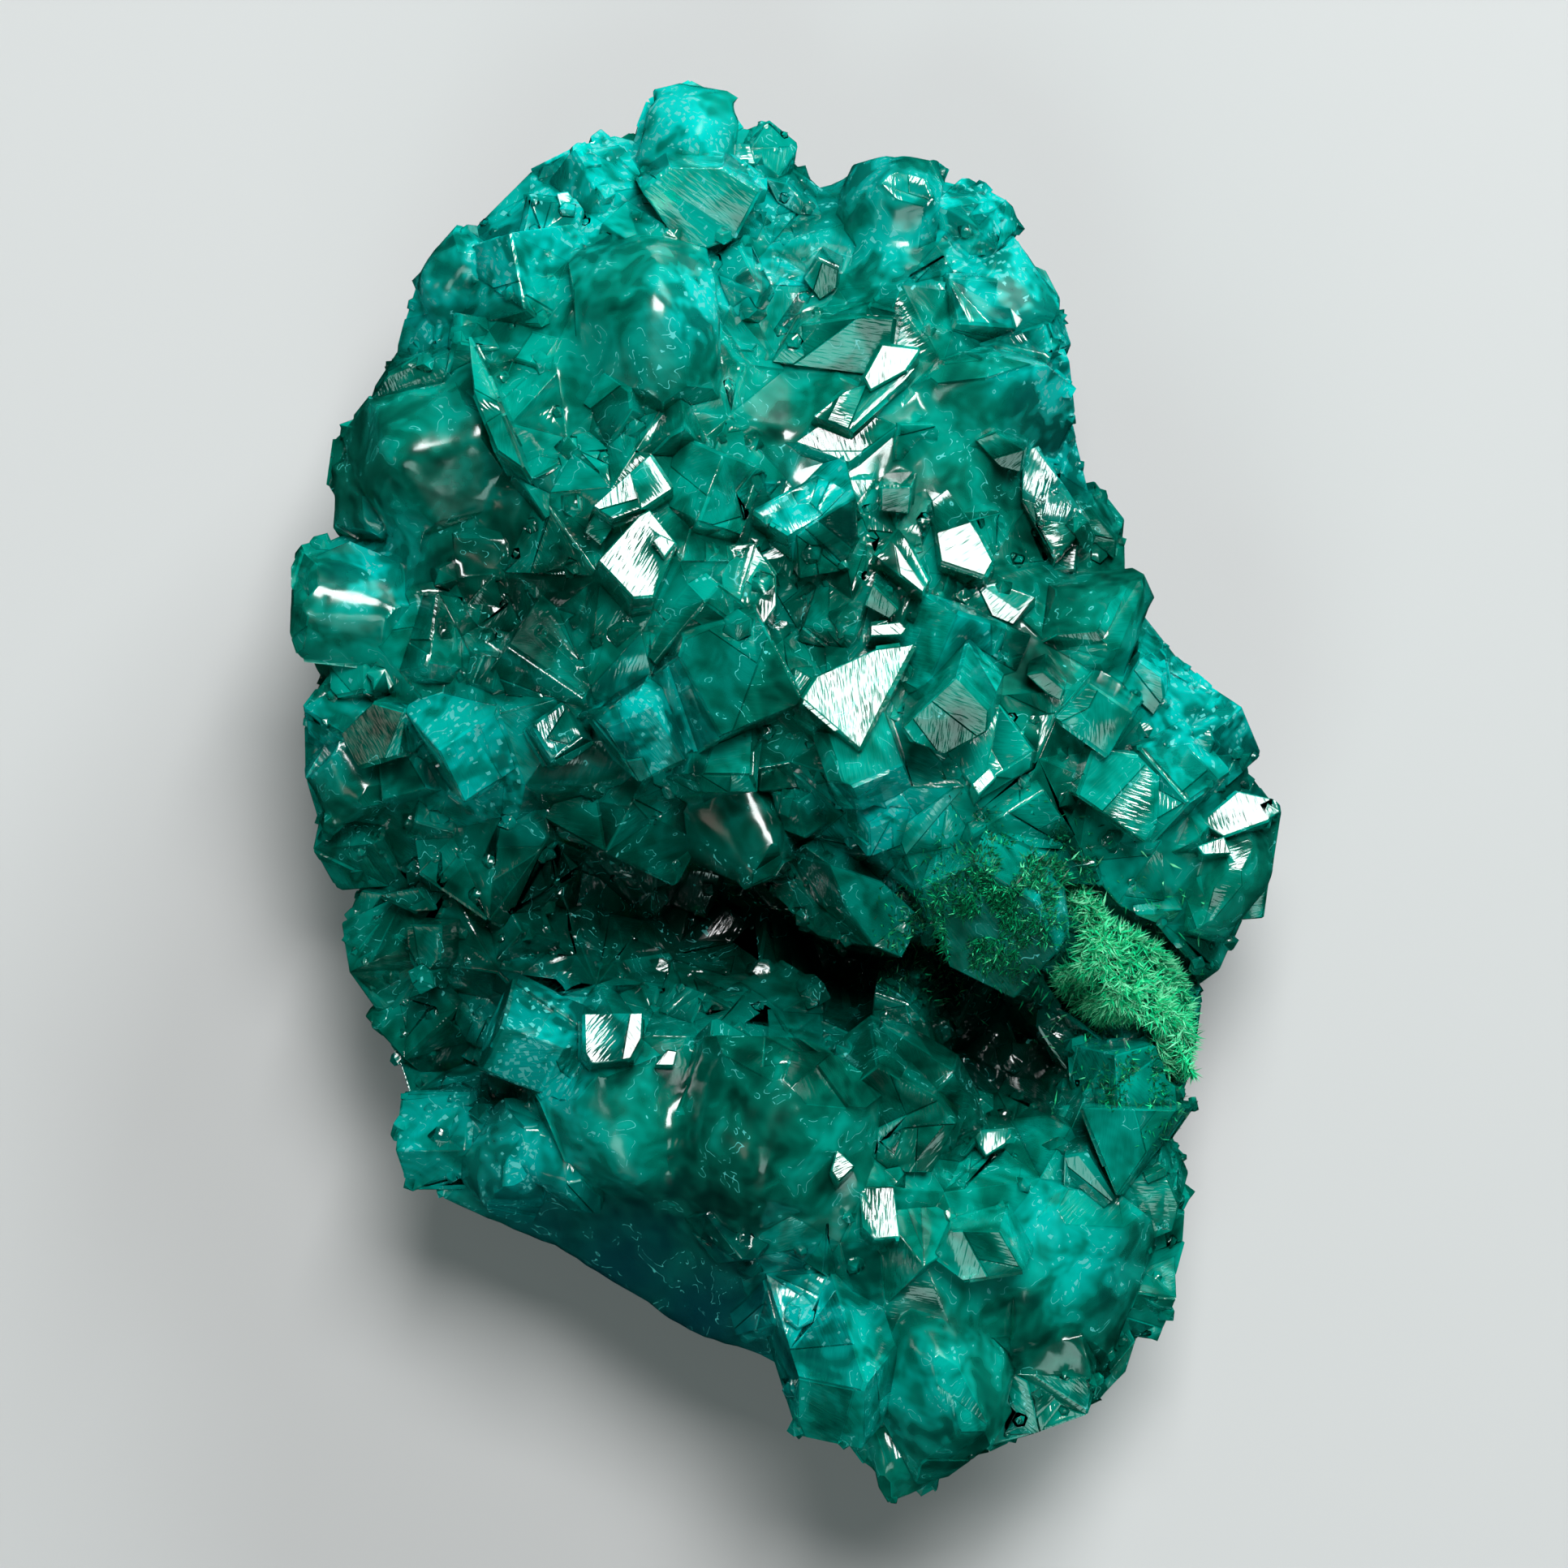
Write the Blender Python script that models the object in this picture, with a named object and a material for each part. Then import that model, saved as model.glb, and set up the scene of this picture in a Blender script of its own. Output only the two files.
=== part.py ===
"""Dioptase: a loose cluster of stubby emerald-green crystals, lying on its cut-off back, crystals up.

The crystals have grown into one mass, so they are one solid. A crust of fine needles of a second mineral
sits in a hollow at the right and is the second solid. Lengths are in millimetres while the shapes are
made, and each finished mesh is scaled to metres. X is to the right and Y is up in the photograph, and Z
points at its camera. The object stands on z = 0.
"""
import itertools
import math
import random

import bmesh
import bpy
from mathutils import Matrix, Vector
from mathutils.geometry import delaunay_2d_cdt

METRES = 0.001
SEED = 41

# Driving dimensions
LENGTH = 45.0
RIM_LEVEL = 7.6
DOME_LEVEL = 15.4
DOME_REACH = 4.6
FOOT_INSET = 4.2
NEEDLE_GAP = 0.3
WALL_HALF = 0.35
CUT_ALLOWANCE = 0.6
FLANK_SPACING = 4.2
FLANK_RADIUS = (1.3, 2.1)
FLANK_ROWS = (0.3, 0.72)
HOLLOW_ROOF = 6.0
WELD = 0.0005
FILL_SPACING = 2.38
CORE_SPACINGS = (2.5, 3.0)
CRUST_SPACINGS = (0.75, 1.1)
LUMP = 0.35

# A crystal that shows one face: how deep it goes, and how much it widens on the way down
FACE_DEPTH = 2.6
FACE_FLARE = 0.16

# A blocky crystal's end faces stand this share of its length from its middle, and it is cut from a block
# this many times its radius
TIP_SHARE = 0.72
BLANK = 6.0

# A smooth body: its length over its width before it is scaled, its lean, how far its edges are cut back,
# and the widest angle between two faces whose edge is cut back
STUBBY = 1.3
ROUNDED_LEAN = (15.0, 50.0)
BLUNTING = 0.18
BLUNTED_ANGLE = math.radians(100.0)

# Where the photograph's frame meets the model
PHOTO_TOP = 98
PHOTO_BOTTOM = 1832
PHOTO_CENTRE = (967, 965)
PHOTO_SCALE = LENGTH / (PHOTO_BOTTOM - PHOTO_TOP)

# The angles of the mineral: the rhombohedron's faces stand 51 degrees off the long axis
RHOMB_TILT = math.radians(51.0)

# Ways that a flat face looks: (tilt off the camera, bearing), in degrees. Bearing 0 is to the right, 90 up
BRIGHT = (13, 75)
GREY = (17, 250)
WARM = (30, 195)

# The specimen's outline, clockwise from its top knob, in pixels of the photograph
OUTLINE_PIXELS = [
    (781, 175), (800, 125), (850, 98), (885, 115), (914, 155), (961, 164), (969, 198), (1010, 227),
    (1040, 216), (1063, 199), (1105, 198), (1130, 216), (1203, 235), (1241, 280), (1267, 325), (1287, 334),
    (1305, 369), (1302, 414), (1295, 435), (1314, 500), (1340, 606), (1384, 668), (1384, 709), (1407, 762),
    (1444, 811), (1497, 856), (1526, 914), (1535, 953), (1573, 1001), (1566, 1057), (1557, 1131),
    (1531, 1133), (1503, 1195), (1476, 1214), (1486, 1234), (1476, 1315), (1447, 1376), (1430, 1426),
    (1459, 1491), (1457, 1530), (1436, 1610), (1401, 1652), (1382, 1694), (1357, 1725), (1271, 1763),
    (1218, 1786), (1168, 1797), (1145, 1830), (1112, 1832), (1065, 1797), (1015, 1729), (974, 1683),
    (938, 1663), (878, 1651), (798, 1605), (732, 1568), (686, 1535), (613, 1512), (550, 1476), (512, 1430),
    (508, 1351), (476, 1255), (443, 1182), (423, 1140), (441, 1094), (399, 1041), (380, 960), (381, 887),
    (401, 840), (379, 792), (364, 740), (387, 678), (441, 654), (408, 600), (416, 542), (451, 511),
    (487, 455), (503, 396), (522, 337), (575, 300), (657, 216), (724, 179), (756, 169),
]

# The dark hollow across the middle, as round dips: (x, y, radius in pixels, depth in mm)
HOLLOWS = [
    (735, 1120, 105, 5.2),
    (900, 1130, 125, 9.8),
    (1040, 1200, 95, 8.2),
    (1200, 1262, 105, 8.6),
    (1295, 1295, 70, 5.4),
    (600, 1290, 75, 5.6),
    (900, 800, 60, 2.2),
    (700, 490, 70, 1.6),
    (960, 400, 60, 1.6),
    (640, 770, 60, 2.0),
]

# The smooth broken slope at the lower left, where no crystals stand
BARE_SLOPE_PIXELS = [
    (560, 1482), (640, 1490), (715, 1488), (800, 1512), (868, 1550), (915, 1610), (960, 1700), (800, 1660),
    (620, 1570),
]

# Crystals seen by one flat face: its corners in pixels, how it faces, and its rise over the mass in mm
FLAT_FACES = {
    "stepped rhombus": ([(747, 702), (794, 649), (807, 642), (839, 682), (812, 744), (788, 746)],
                        BRIGHT, 1.1),
    "square on the rhombus": ([(811, 679), (820, 672), (838, 681), (825, 698)], BRIGHT, 1.35),
    "rough rhombus above": ([(740, 638), (807, 576), (834, 616), (799, 640), (764, 654)], BRIGHT, 0.7),
    "small square at its left": ([(743, 643), (764, 659), (748, 683), (729, 667)], GREY, 0.6),
    "upright white face": ([(889, 681), (930, 678), (956, 717), (957, 753), (938, 780), (896, 781)],
                           BRIGHT, 0.9),
    "block top": ([(930, 640), (1008, 598), (1051, 622), (973, 668)], (24, 100), 1.7),
    "block side": ([(981, 665), (1051, 624), (1054, 670), (1035, 708), (984, 718)], (33, 290), 1.2),
    "grey square": ([(1083, 611), (1118, 611), (1115, 642), (1082, 639)], GREY, 0.9),
    "white wedge": ([(1076, 695), (1103, 662), (1115, 678), (1139, 724), (1131, 738)], BRIGHT, 1.2),
    "white triangle": ([(988, 865), (1005, 838), (1075, 806), (1120, 800), (1072, 868), (1056, 924)],
                       BRIGHT, 1.5),
    "grey chip": ([(1062, 753), (1072, 729), (1102, 758), (1091, 769)], GREY, 1.1),
    "white chip": ([(1069, 777), (1104, 773), (1112, 781), (1106, 789), (1069, 790)], BRIGHT, 1.3),
    "pentagon": ([(1106, 899), (1169, 840), (1206, 879), (1204, 903), (1155, 930), (1118, 916)], GREY, 2.4),
    "silver arc": ([(1143, 627), (1162, 612), (1200, 668), (1216, 700), (1206, 717), (1154, 700)],
                   BRIGHT, 1.3),
    "silver ridge": ([(1256, 560), (1272, 556), (1305, 600), (1335, 648), (1295, 694), (1256, 620)],
                     BRIGHT, 1.2),
    "silver sole": ([(1165, 738), (1220, 724), (1268, 742), (1234, 785), (1198, 758)], BRIGHT, 0.7),
    "grey strip by the ridge": ([(1198, 550), (1222, 541), (1256, 562), (1252, 588), (1228, 582)],
                                GREY, 1.0),
    "pale rim face": ([(1322, 632), (1340, 628), (1372, 668), (1370, 690), (1342, 668)], GREY, 0.8),
    "grey lath": ([(1256, 836), (1275, 832), (1300, 853), (1296, 866), (1280, 858)], GREY, 0.9),
    "right rhombus": ([(1375, 847), (1394, 817), (1421, 836), (1424, 862), (1412, 882)], GREY, 1.0),
    "crystal below the pyramid": ([(1329, 847), (1380, 882), (1352, 932), (1289, 887)], (10, 230), 1.7),
    "long right crystal": ([(1336, 926), (1390, 934), (1411, 955), (1408, 1014), (1398, 1035), (1317, 979)],
                           (9, 330), 1.5),
    "white lath": ([(1189, 966), (1210, 947), (1218, 958), (1197, 979)], BRIGHT, 1.1),
    "blade's right face": ([(1020, 1062), (1084, 1084), (1124, 1121), (1124, 1145), (1108, 1175),
                            (1074, 1161), (1041, 1116)], (24, 350), 3.4),
    "blade's left face": ([(930, 1080), (990, 1040), (1020, 1062), (1041, 1116), (1074, 1161), (1010, 1150)],
                          (46, 200), 2.9),
    "overhanging crystal": ([(1130, 1090), (1190, 1060), (1262, 1105), (1290, 1165), (1240, 1222),
                             (1165, 1185)],
                            (32, 240), 3.4),
    "white square": ([(728, 1240), (797, 1240), (796, 1270), (783, 1294), (737, 1299), (729, 1286)],
                     BRIGHT, 2.3),
    "white nib": ([(812, 1302), (826, 1284), (838, 1286), (834, 1303)], BRIGHT, 1.2),
    "white triangle below": ([(688, 1337), (737, 1331), (716, 1361)], BRIGHT, 0.9),
    "leaf": ([(1076, 1220), (1117, 1234), (1136, 1255), (1156, 1319), (1149, 1341), (1077, 1301),
              (1072, 1268)],
             GREY, 4.2),
    "leaf's near side": ([(1077, 1303), (1149, 1342), (1172, 1372), (1140, 1432), (1062, 1428), (1030, 1340)],
                         (20, 275), 1.6),
    "small kite": ([(1029, 1401), (1050, 1420), (1031, 1438), (1022, 1425)], BRIGHT, 1.2),
    "ribbed square": ([(1057, 1448), (1097, 1448), (1104, 1507), (1074, 1509), (1061, 1496)], BRIGHT, 0.8),
    "ribbed chip": ([(1192, 1386), (1238, 1384), (1235, 1402), (1211, 1416)], BRIGHT, 0.8),
    "grey fan": ([(1144, 1534), (1165, 1501), (1224, 1501), (1252, 1550), (1181, 1562)], GREY, 1.0),
    "inverted triangle": ([(1328, 1359), (1440, 1362), (1370, 1464)], (10, 180), 2.3),
    "wrinkled face": ([(1373, 1469), (1424, 1426), (1448, 1480), (1440, 1512), (1405, 1528), (1381, 1501)],
                      GREY, 1.0),
    "wrinkled step": ([(1396, 1452), (1425, 1440), (1446, 1462), (1440, 1490), (1408, 1488)], GREY, 1.4),
    "grey tongue": ([(1307, 1418), (1333, 1413), (1368, 1469), (1354, 1483), (1306, 1461)], GREY, 0.9),
    "large grey face": ([(1212, 1778), (1255, 1705), (1238, 1659), (1328, 1639), (1341, 1689), (1335, 1735),
                         (1272, 1760)], GREY, 1.3),
    "glancing rim face": ([(1338, 1733), (1398, 1652), (1388, 1692), (1355, 1727)], (48, 300), 0.4),
    "big grey face": ([(952, 455), (985, 412), (1020, 408), (1065, 402), (1098, 405), (1094, 438),
                       (1062, 470)],
                      GREY, 0.9),
    "stepped strip above": ([(1062, 478), (1084, 438), (1129, 444), (1112, 470), (1070, 493)], BRIGHT, 1.3),
    "stepped strip below": ([(1003, 525), (1040, 494), (1070, 493), (1124, 466), (1112, 482), (1046, 542)],
                            BRIGHT, 1.0),
    "mottled square": ([(990, 350), (1006, 328), (1032, 340), (1030, 362), (1010, 376)], GREY, 0.9),
    "mottled square below": ([(948, 398), (962, 388), (982, 402), (965, 412)], GREY, 0.6),
    "square glint": ([(892, 183), (905, 178), (924, 180), (931, 205), (914, 202)], BRIGHT, 0.6),
    "grey sliver": ([(944, 222), (968, 228), (1010, 268), (985, 266), (958, 250)], GREY, 0.6),
    "flecked block": ([(795, 250), (830, 222), (890, 222), (935, 250), (905, 305), (850, 325)],
                      (13, 275), 1.4),
    "top-left glint": ([(690, 250), (704, 248), (710, 256), (698, 276)], BRIGHT, 0.8),
    "upper-left glint": ([(578, 316), (588, 318), (603, 350), (590, 358)], BRIGHT, 0.9),
    "left sheen": ([(486, 470), (556, 448), (588, 432), (596, 475), (520, 505), (462, 505)], GREY, 0.9),
    "ridge facet": ([(588, 430), (612, 478), (655, 590), (625, 570), (596, 500)], (22, 120), 1.9),
    "striated shoulder": ([(1186, 440), (1282, 408), (1292, 440), (1276, 480), (1205, 482)],
                          (12, 215), 0.9),
    "warm face": ([(430, 905), (470, 868), (510, 880), (500, 930), (450, 945)], WARM, 0.9),
    "warm wedge left": ([(428, 1128), (445, 1098), (470, 1102), (437, 1152)], WARM, 0.8),
    "warm wedge right": ([(472, 1102), (520, 1094), (538, 1120), (518, 1122)], WARM, 0.8),
    "warm slab": ([(508, 1138), (550, 1138), (548, 1180), (526, 1205), (510, 1180)], WARM, 1.1),
    "left lobe's top": ([(400, 690), (440, 672), (505, 700), (500, 722), (430, 730)], (24, 70), 1.3),
    "glint at the right": ([(1473, 1012), (1518, 975), (1562, 985), (1556, 1010), (1500, 1030)],
                           BRIGHT, 1.2),
    "lower glint at the right": ([(1468, 1042), (1500, 1030), (1508, 1050), (1475, 1052)], BRIGHT, 1.0),
    "smear at the right": ([(1468, 1080), (1500, 1068), (1512, 1086), (1478, 1104)], BRIGHT, 0.9),
    "tip glint": ([(1146, 1811), (1160, 1783), (1174, 1772), (1163, 1800)], BRIGHT, 0.6),
}

# Crystals seen as smooth rounded bodies: (x, y) in pixels, radii along and across in mm, turn, and rise
ROUNDED = {
    "top knob": ((849, 169), 1.68, 1.6, 80, 1.1),
    "top-right bump": ((1094, 268), 2.05, 1.75, 90, 1.5),
    "right shoulder": ((1243, 374), 1.7, 1.5, 60, 0.9),
    "upper-left crystal": ((568, 356), 1.6, 1.4, 60, 1.0),
    "large mid-top crystal": ((800, 420), 3.4, 3.0, 120, 1.5),
    "large left crystal": ((553, 585), 3.5, 2.8, 150, 1.7),
    "left shoulder": ((474, 612), 1.8, 1.8, 60, 0.8),
    "left lobe": ((450, 752), 2.35, 2.1, 160, 1.3),
    "left lobe below": ((446, 952), 1.8, 1.7, 80, 1.0),
    "smooth crystal right of the middle": ((1196, 520), 3.3, 2.6, 20, 1.0),
    "smooth body under the grey face": ((1020, 520), 3.0, 2.4, 10, 0.5),
    "smooth right pyramid": ((1325, 780), 2.6, 2.2, 30, 1.6),
    "round crystal over the hollow": ((900, 1010), 2.2, 2.0, 110, 1.5),
    "right crystal": ((1497, 1072), 2.3, 1.9, 75, 1.3),
    "lower block": ((810, 1385), 4.3, 3.1, 165, 1.3),
    "lower block right": ((955, 1395), 3.3, 3.2, 70, 1.0),
    "bright lobe": ((640, 1425), 1.9, 1.6, 70, 1.1),
    "bright lobe right": ((706, 1420), 1.8, 1.5, 100, 1.2),
    "bottom block": ((1140, 1655), 4.1, 2.7, 100, 1.1),
    "bottom tip": ((1115, 1773), 1.75, 1.3, 100, 0.2),
    "bottom right body": ((1300, 1570), 3.4, 2.8, 60, 1.0),
}

# Crystals seen as blocks with flat faces: (x, y) in pixels, radii along and across in mm, the long axis's
# tilt and bearing, the turn about it, and rise
BLOCKS = {
    "prism by the knob": ((936, 200), 1.3, 1.0, (70, 80), 10, 0.7),
    "cyan shoulder": ((1192, 290), 1.7, 1.4, (50, 140), 40, 0.8),
    "crystal beside the upper-left one": ((655, 360), 2.2, 2.0, (40, 110), 20, 0.9),
    "top-left rough crystal": ((740, 250), 1.6, 1.4, (60, 120), 30, 0.7),
    "recess crystal": ((700, 510), 1.7, 1.5, (30, 30), 50, 0.6),
    "recess crystal beside": ((770, 520), 1.5, 1.3, (50, 250), 15, 0.5),
    "left belly": ((455, 1030), 1.8, 1.7, (60, 190), 25, 0.9),
    "left upper flank": ((440, 880), 1.5, 1.4, (60, 170), 5, 0.7),
    "left lower crystal": ((500, 1170), 2.0, 1.8, (50, 200), 35, 1.0),
    "dark crystal": ((530, 1262), 1.7, 1.6, (40, 240), 10, 1.2),
    "middle crystal": ((866, 622), 2.0, 1.6, (35, 60), 40, 0.9),
    "right upper flank crystal": ((1250, 470), 1.9, 1.7, (45, 20), 20, 0.7),
    "pentagon's body": ((1165, 815), 2.4, 2.0, (30, 80), 15, 1.9),
    "dark middle crystal": ((880, 850), 2.6, 2.3, (35, 280), 50, 1.6),
    "crystal left of the upright face": ((850, 770), 2.1, 1.8, (45, 230), 30, 0.9),
    "crystal over the hollow": ((780, 980), 2.8, 2.4, (40, 250), 20, 1.5),
    "crystal left of the hollow": ((620, 1040), 2.7, 2.4, (45, 260), 0, 1.4),
    "glittering crystal": ((590, 905), 2.1, 1.8, (30, 200), 45, 1.0),
    "glittering crystal right": ((800, 890), 1.7, 1.5, (60, 320), 10, 1.2),
    "crystal left of the middle": ((690, 830), 2.2, 2.0, (35, 150), 25, 0.8),
    "ledge crystal": ((560, 800), 1.9, 1.7, (50, 100), 10, 0.5),
    "cyan rim crystal": ((1476, 915), 1.7, 1.4, (55, 40), 30, 0.7),
    "right flank crystal": ((1420, 960), 2.0, 1.7, (30, 320), 20, 1.0),
    "cyan crystal": ((668, 1275), 2.0, 1.7, (30, 150), 40, 3.6),
    "lower-left lobe": ((552, 1400), 1.7, 1.5, (50, 190), 20, 1.2),
    "long bottom prism": ((1012, 1590), 4.3, 1.7, (72, 288), 12, 1.7),
    "bottom right rim": ((1392, 1590), 1.7, 1.5, (50, 350), 30, 0.7),
    "block over the leaf": ((1110, 1360), 2.6, 2.3, (25, 250), 5, 2.2),
    "cyan lump": ((1095, 1003), 1.4, 1.0, (60, 20), 30, 1.3),
    "crystal right of the hollow": ((1230, 1010), 2.4, 2.0, (35, 40), 20, 1.0),
    "crystal under the needles": ((1390, 1330), 2.0, 1.7, (30, 120), 0, 1.2),
    "bottom middle crystal": ((1110, 1500), 2.4, 2.1, (30, 300), 40, 0.6),
}

# How far small crystals rise over the mass, and their radii
FILL_RISE = (0.0, 0.6)
FILL_RADIUS = (0.9, 1.7)

# The needle crust's patch, and the lift of its ends
CRUST_PIXELS = [
    (1312, 1092), (1345, 1100), (1372, 1128), (1420, 1150), (1462, 1195), (1478, 1240), (1480, 1290),
    (1462, 1335), (1446, 1320), (1430, 1278), (1400, 1262), (1352, 1268), (1312, 1240), (1290, 1205),
    (1312, 1180), (1322, 1140),
]
CRUST_RISE = 0.9
CRUST_DEPTH = 1.1


def from_photo(x, y):
    """Gives the millimetre place of a pixel of the photograph, seen from straight above."""
    return Vector(((x - PHOTO_CENTRE[0]) * PHOTO_SCALE, (PHOTO_CENTRE[1] - y) * PHOTO_SCALE))


def smooth_step(value):
    """Rises smoothly from 0 to 1 as value goes from 0 to 1."""
    value = min(max(value, 0.0), 1.0)
    return value * value * (3.0 - 2.0 * value)


def distance_inside(point, outline):
    """Gives how far a point lies inside a closed outline, negative when it lies outside."""
    nearest = 1e9
    inside = False
    for a, b in zip(outline, outline[1:] + outline[:1]):
        along = b - a
        share = min(max((point - a).dot(along) / along.length_squared, 0.0), 1.0)
        nearest = min(nearest, (point - a - along * share).length)
        if (a.y > point.y) != (b.y > point.y):
            if point.x < a.x + (point.y - a.y) * along.x / along.y:
                inside = not inside
    return nearest if inside else -nearest


def rim_level(point):
    """The height of the widest place of the flank, which goes up and down around the specimen."""
    bearing = math.atan2(point.y, point.x)
    return RIM_LEVEL + 1.1 * math.sin(3.0 * bearing + 0.6) + 0.7 * math.sin(7.0 * bearing)


def mass_level(point, outline):
    """The height of the top of the mass under the crystals."""
    depth = max(distance_inside(point, outline), 0.0)
    dome = 1.0 - math.exp(-depth / DOME_REACH)
    level = rim_level(point) + (DOME_LEVEL - RIM_LEVEL) * dome
    for x, y, radius, fall in HOLLOWS:
        away = (point - from_photo(x, y)).length / (radius * PHOTO_SCALE)
        level -= fall * math.exp(-1.1 * away ** 2)
    return level


def direction(tilt, bearing):
    """The unit direction that leans tilt degrees off the camera's line towards a bearing."""
    tilt = math.radians(tilt)
    bearing = math.radians(bearing)
    flat = math.sin(tilt)
    return Vector((flat * math.cos(bearing), flat * math.sin(bearing), math.cos(tilt)))


def hull_of(points, name):
    """A convex solid around points, as a mesh object."""
    shape = bmesh.new()
    for point in points:
        shape.verts.new(point)
    result = bmesh.ops.convex_hull(shape, input=shape.verts)
    loose = [item for item in result["geom_interior"] if isinstance(item, bmesh.types.BMVert)]
    bmesh.ops.delete(shape, geom=loose, context="VERTS")
    bmesh.ops.dissolve_limit(shape, angle_limit=math.radians(1.0), verts=shape.verts, edges=shape.edges)
    bmesh.ops.recalc_face_normals(shape, faces=shape.faces)
    return finish_mesh(shape, name)


def finish_mesh(shape, name):
    """Turns a bmesh into an object of the scene."""
    mesh = bpy.data.meshes.new(name)
    shape.to_mesh(mesh)
    shape.free()
    item = bpy.data.objects.new(name, mesh)
    bpy.context.scene.collection.objects.link(item)
    return item


def cut_solid(size, planes, name):
    """A solid cut from a block by planes, each given by its outward direction and its distance."""
    shape = bmesh.new()
    bmesh.ops.create_cube(shape, size=size)
    for outward, distance in planes:
        everything = shape.verts[:] + shape.edges[:] + shape.faces[:]
        bmesh.ops.bisect_plane(shape, geom=everything, plane_co=outward * distance, plane_no=outward,
                               clear_outer=True)
        open_edges = [edge for edge in shape.edges if edge.is_boundary]
        if open_edges:
            bmesh.ops.holes_fill(shape, edges=open_edges, sides=0)
    bmesh.ops.remove_doubles(shape, verts=shape.verts, dist=0.02)
    bmesh.ops.recalc_face_normals(shape, faces=shape.faces)
    return finish_mesh(shape, name)


def crystal_planes(along, across, tip, picks):
    """The planes of a stubby prism with a rhombohedron's three faces on each end."""
    planes = []
    for side in range(6):
        bearing = math.radians(60.0 * side + 30.0)
        outward = Vector((math.cos(bearing), math.sin(bearing), 0.0))
        planes.append((outward, across * picks.uniform(0.86, 1.1)))
    for end in (1.0, -1.0):
        for side in range(3):
            bearing = math.radians(120.0 * side + (0.0 if end > 0.0 else 60.0))
            flat = math.sin(RHOMB_TILT)
            outward = Vector((flat * math.cos(bearing), flat * math.sin(bearing), end * math.cos(RHOMB_TILT)))
            planes.append((outward, tip * along * picks.uniform(0.9, 1.08)))
    return planes


def whole_crystal(place, axis, spin, along, across, picks, name):
    """A blocky crystal with its long axis along a direction. The place is its middle."""
    planes = crystal_planes(along, across, TIP_SHARE, picks)
    crystal = cut_solid(BLANK * max(along, across), planes, name)
    turn = axis.to_track_quat("Z", "Y").to_matrix().to_4x4()
    crystal.data.transform(Matrix.Translation(place) @ turn @ Matrix.Rotation(spin, 4, "Z"))
    return crystal


def raise_to(crystal, level):
    """Moves a crystal straight up or down until its highest corner is at a level."""
    highest = max(vert.co.z for vert in crystal.data.vertices)
    crystal.data.transform(Matrix.Translation((0.0, 0.0, level - highest)))
    return crystal


def block_crystal(name, place, along, across, axis, spin, rise, outline, picks):
    """A named blocky crystal, placed by how far its highest corner rises over the mass."""
    flat = from_photo(*place)
    middle = Vector((flat.x, flat.y, 0.0))
    crystal = whole_crystal(middle, direction(*axis), math.radians(spin), along, across, picks, name)
    return raise_to(crystal, mass_level(flat, outline) + rise)


def face_crystal(name, corners, facing, rise, outline):
    """A crystal known by one flat face. Its sides stand square to the face and widen a little with depth."""
    flat = [from_photo(*corner) for corner in corners]
    centre = sum(flat, Vector((0.0, 0.0))) / len(flat)
    outward = direction(*facing)
    level = mass_level(centre, outline) + rise
    top = []
    for corner in flat:
        away = corner - centre
        drop = (away.x * outward.x + away.y * outward.y) / outward.z
        top.append(Vector((corner.x, corner.y, level - drop)))
    middle = Vector((centre.x, centre.y, level))
    depth = FACE_DEPTH + 0.5 * rise
    below = [corner + (corner - middle) * FACE_FLARE - outward * depth for corner in top]
    return hull_of(top + below, name)


def blunt_block(name, picks):
    """A block with its edges and corners cut back, as points scaled to reach 1 each way from its middle."""
    axis = direction(picks.uniform(*ROUNDED_LEAN), picks.uniform(0.0, 360.0))
    turn = axis.to_track_quat("Z", "Y").to_matrix() @ Matrix.Rotation(picks.uniform(0.0, math.tau), 3, "Z")
    upright = crystal_planes(STUBBY, 1.0, TIP_SHARE, picks)
    planes = [(turn @ outward, distance) for outward, distance in upright]
    sharp = cut_solid(BLANK, planes, name)
    corners = [vert.co.copy() for vert in sharp.data.vertices]
    bpy.data.objects.remove(sharp)
    for (one, _), (other, _) in itertools.combinations(list(planes), 2):
        if one.angle(other) < BLUNTED_ANGLE:
            way = (one + other).normalized()
            reach = max(corner.dot(way) for corner in corners)
            planes.append((way, reach - BLUNTING * picks.uniform(0.7, 1.3)))
    blunt = cut_solid(BLANK, planes, name)
    points = [vert.co.copy() for vert in blunt.data.vertices]
    bpy.data.objects.remove(blunt)
    for axis in range(3):
        low = min(point[axis] for point in points)
        high = max(point[axis] for point in points)
        for point in points:
            point[axis] = 2.0 * (point[axis] - low) / (high - low) - 1.0
    return points


def rounded_crystal(name, place, along, across, turn, rise, outline, picks):
    """A crystal with blunted edges, which reads as a smooth rounded body."""
    flat = from_photo(*place)
    level = mass_level(flat, outline) + rise
    height = 0.5 * (along + across)
    crystal = hull_of(blunt_block(name, picks), name)
    stretch = Matrix.Diagonal((along, across, height, 1.0))
    place = Vector((flat.x, flat.y, level - height))
    crystal.data.transform(Matrix.Translation(place) @ Matrix.Rotation(math.radians(turn), 4, "Z") @ stretch)
    return crystal


def spread_points(outline, spacing, inset, picks):
    """Places on a jittered triangular net inside an outline."""
    span = 30.0
    rows = int(2.0 * span / (spacing * 0.866))
    places = []
    for row in range(rows):
        for column in range(int(2.0 * span / spacing)):
            x = -span + spacing * (column + 0.5 * (row % 2)) + picks.uniform(-0.25, 0.25) * spacing
            y = -span + spacing * 0.866 * row + picks.uniform(-0.25, 0.25) * spacing
            point = Vector((x, y))
            if distance_inside(point, outline) > inset:
                places.append(point)
    return places


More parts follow.
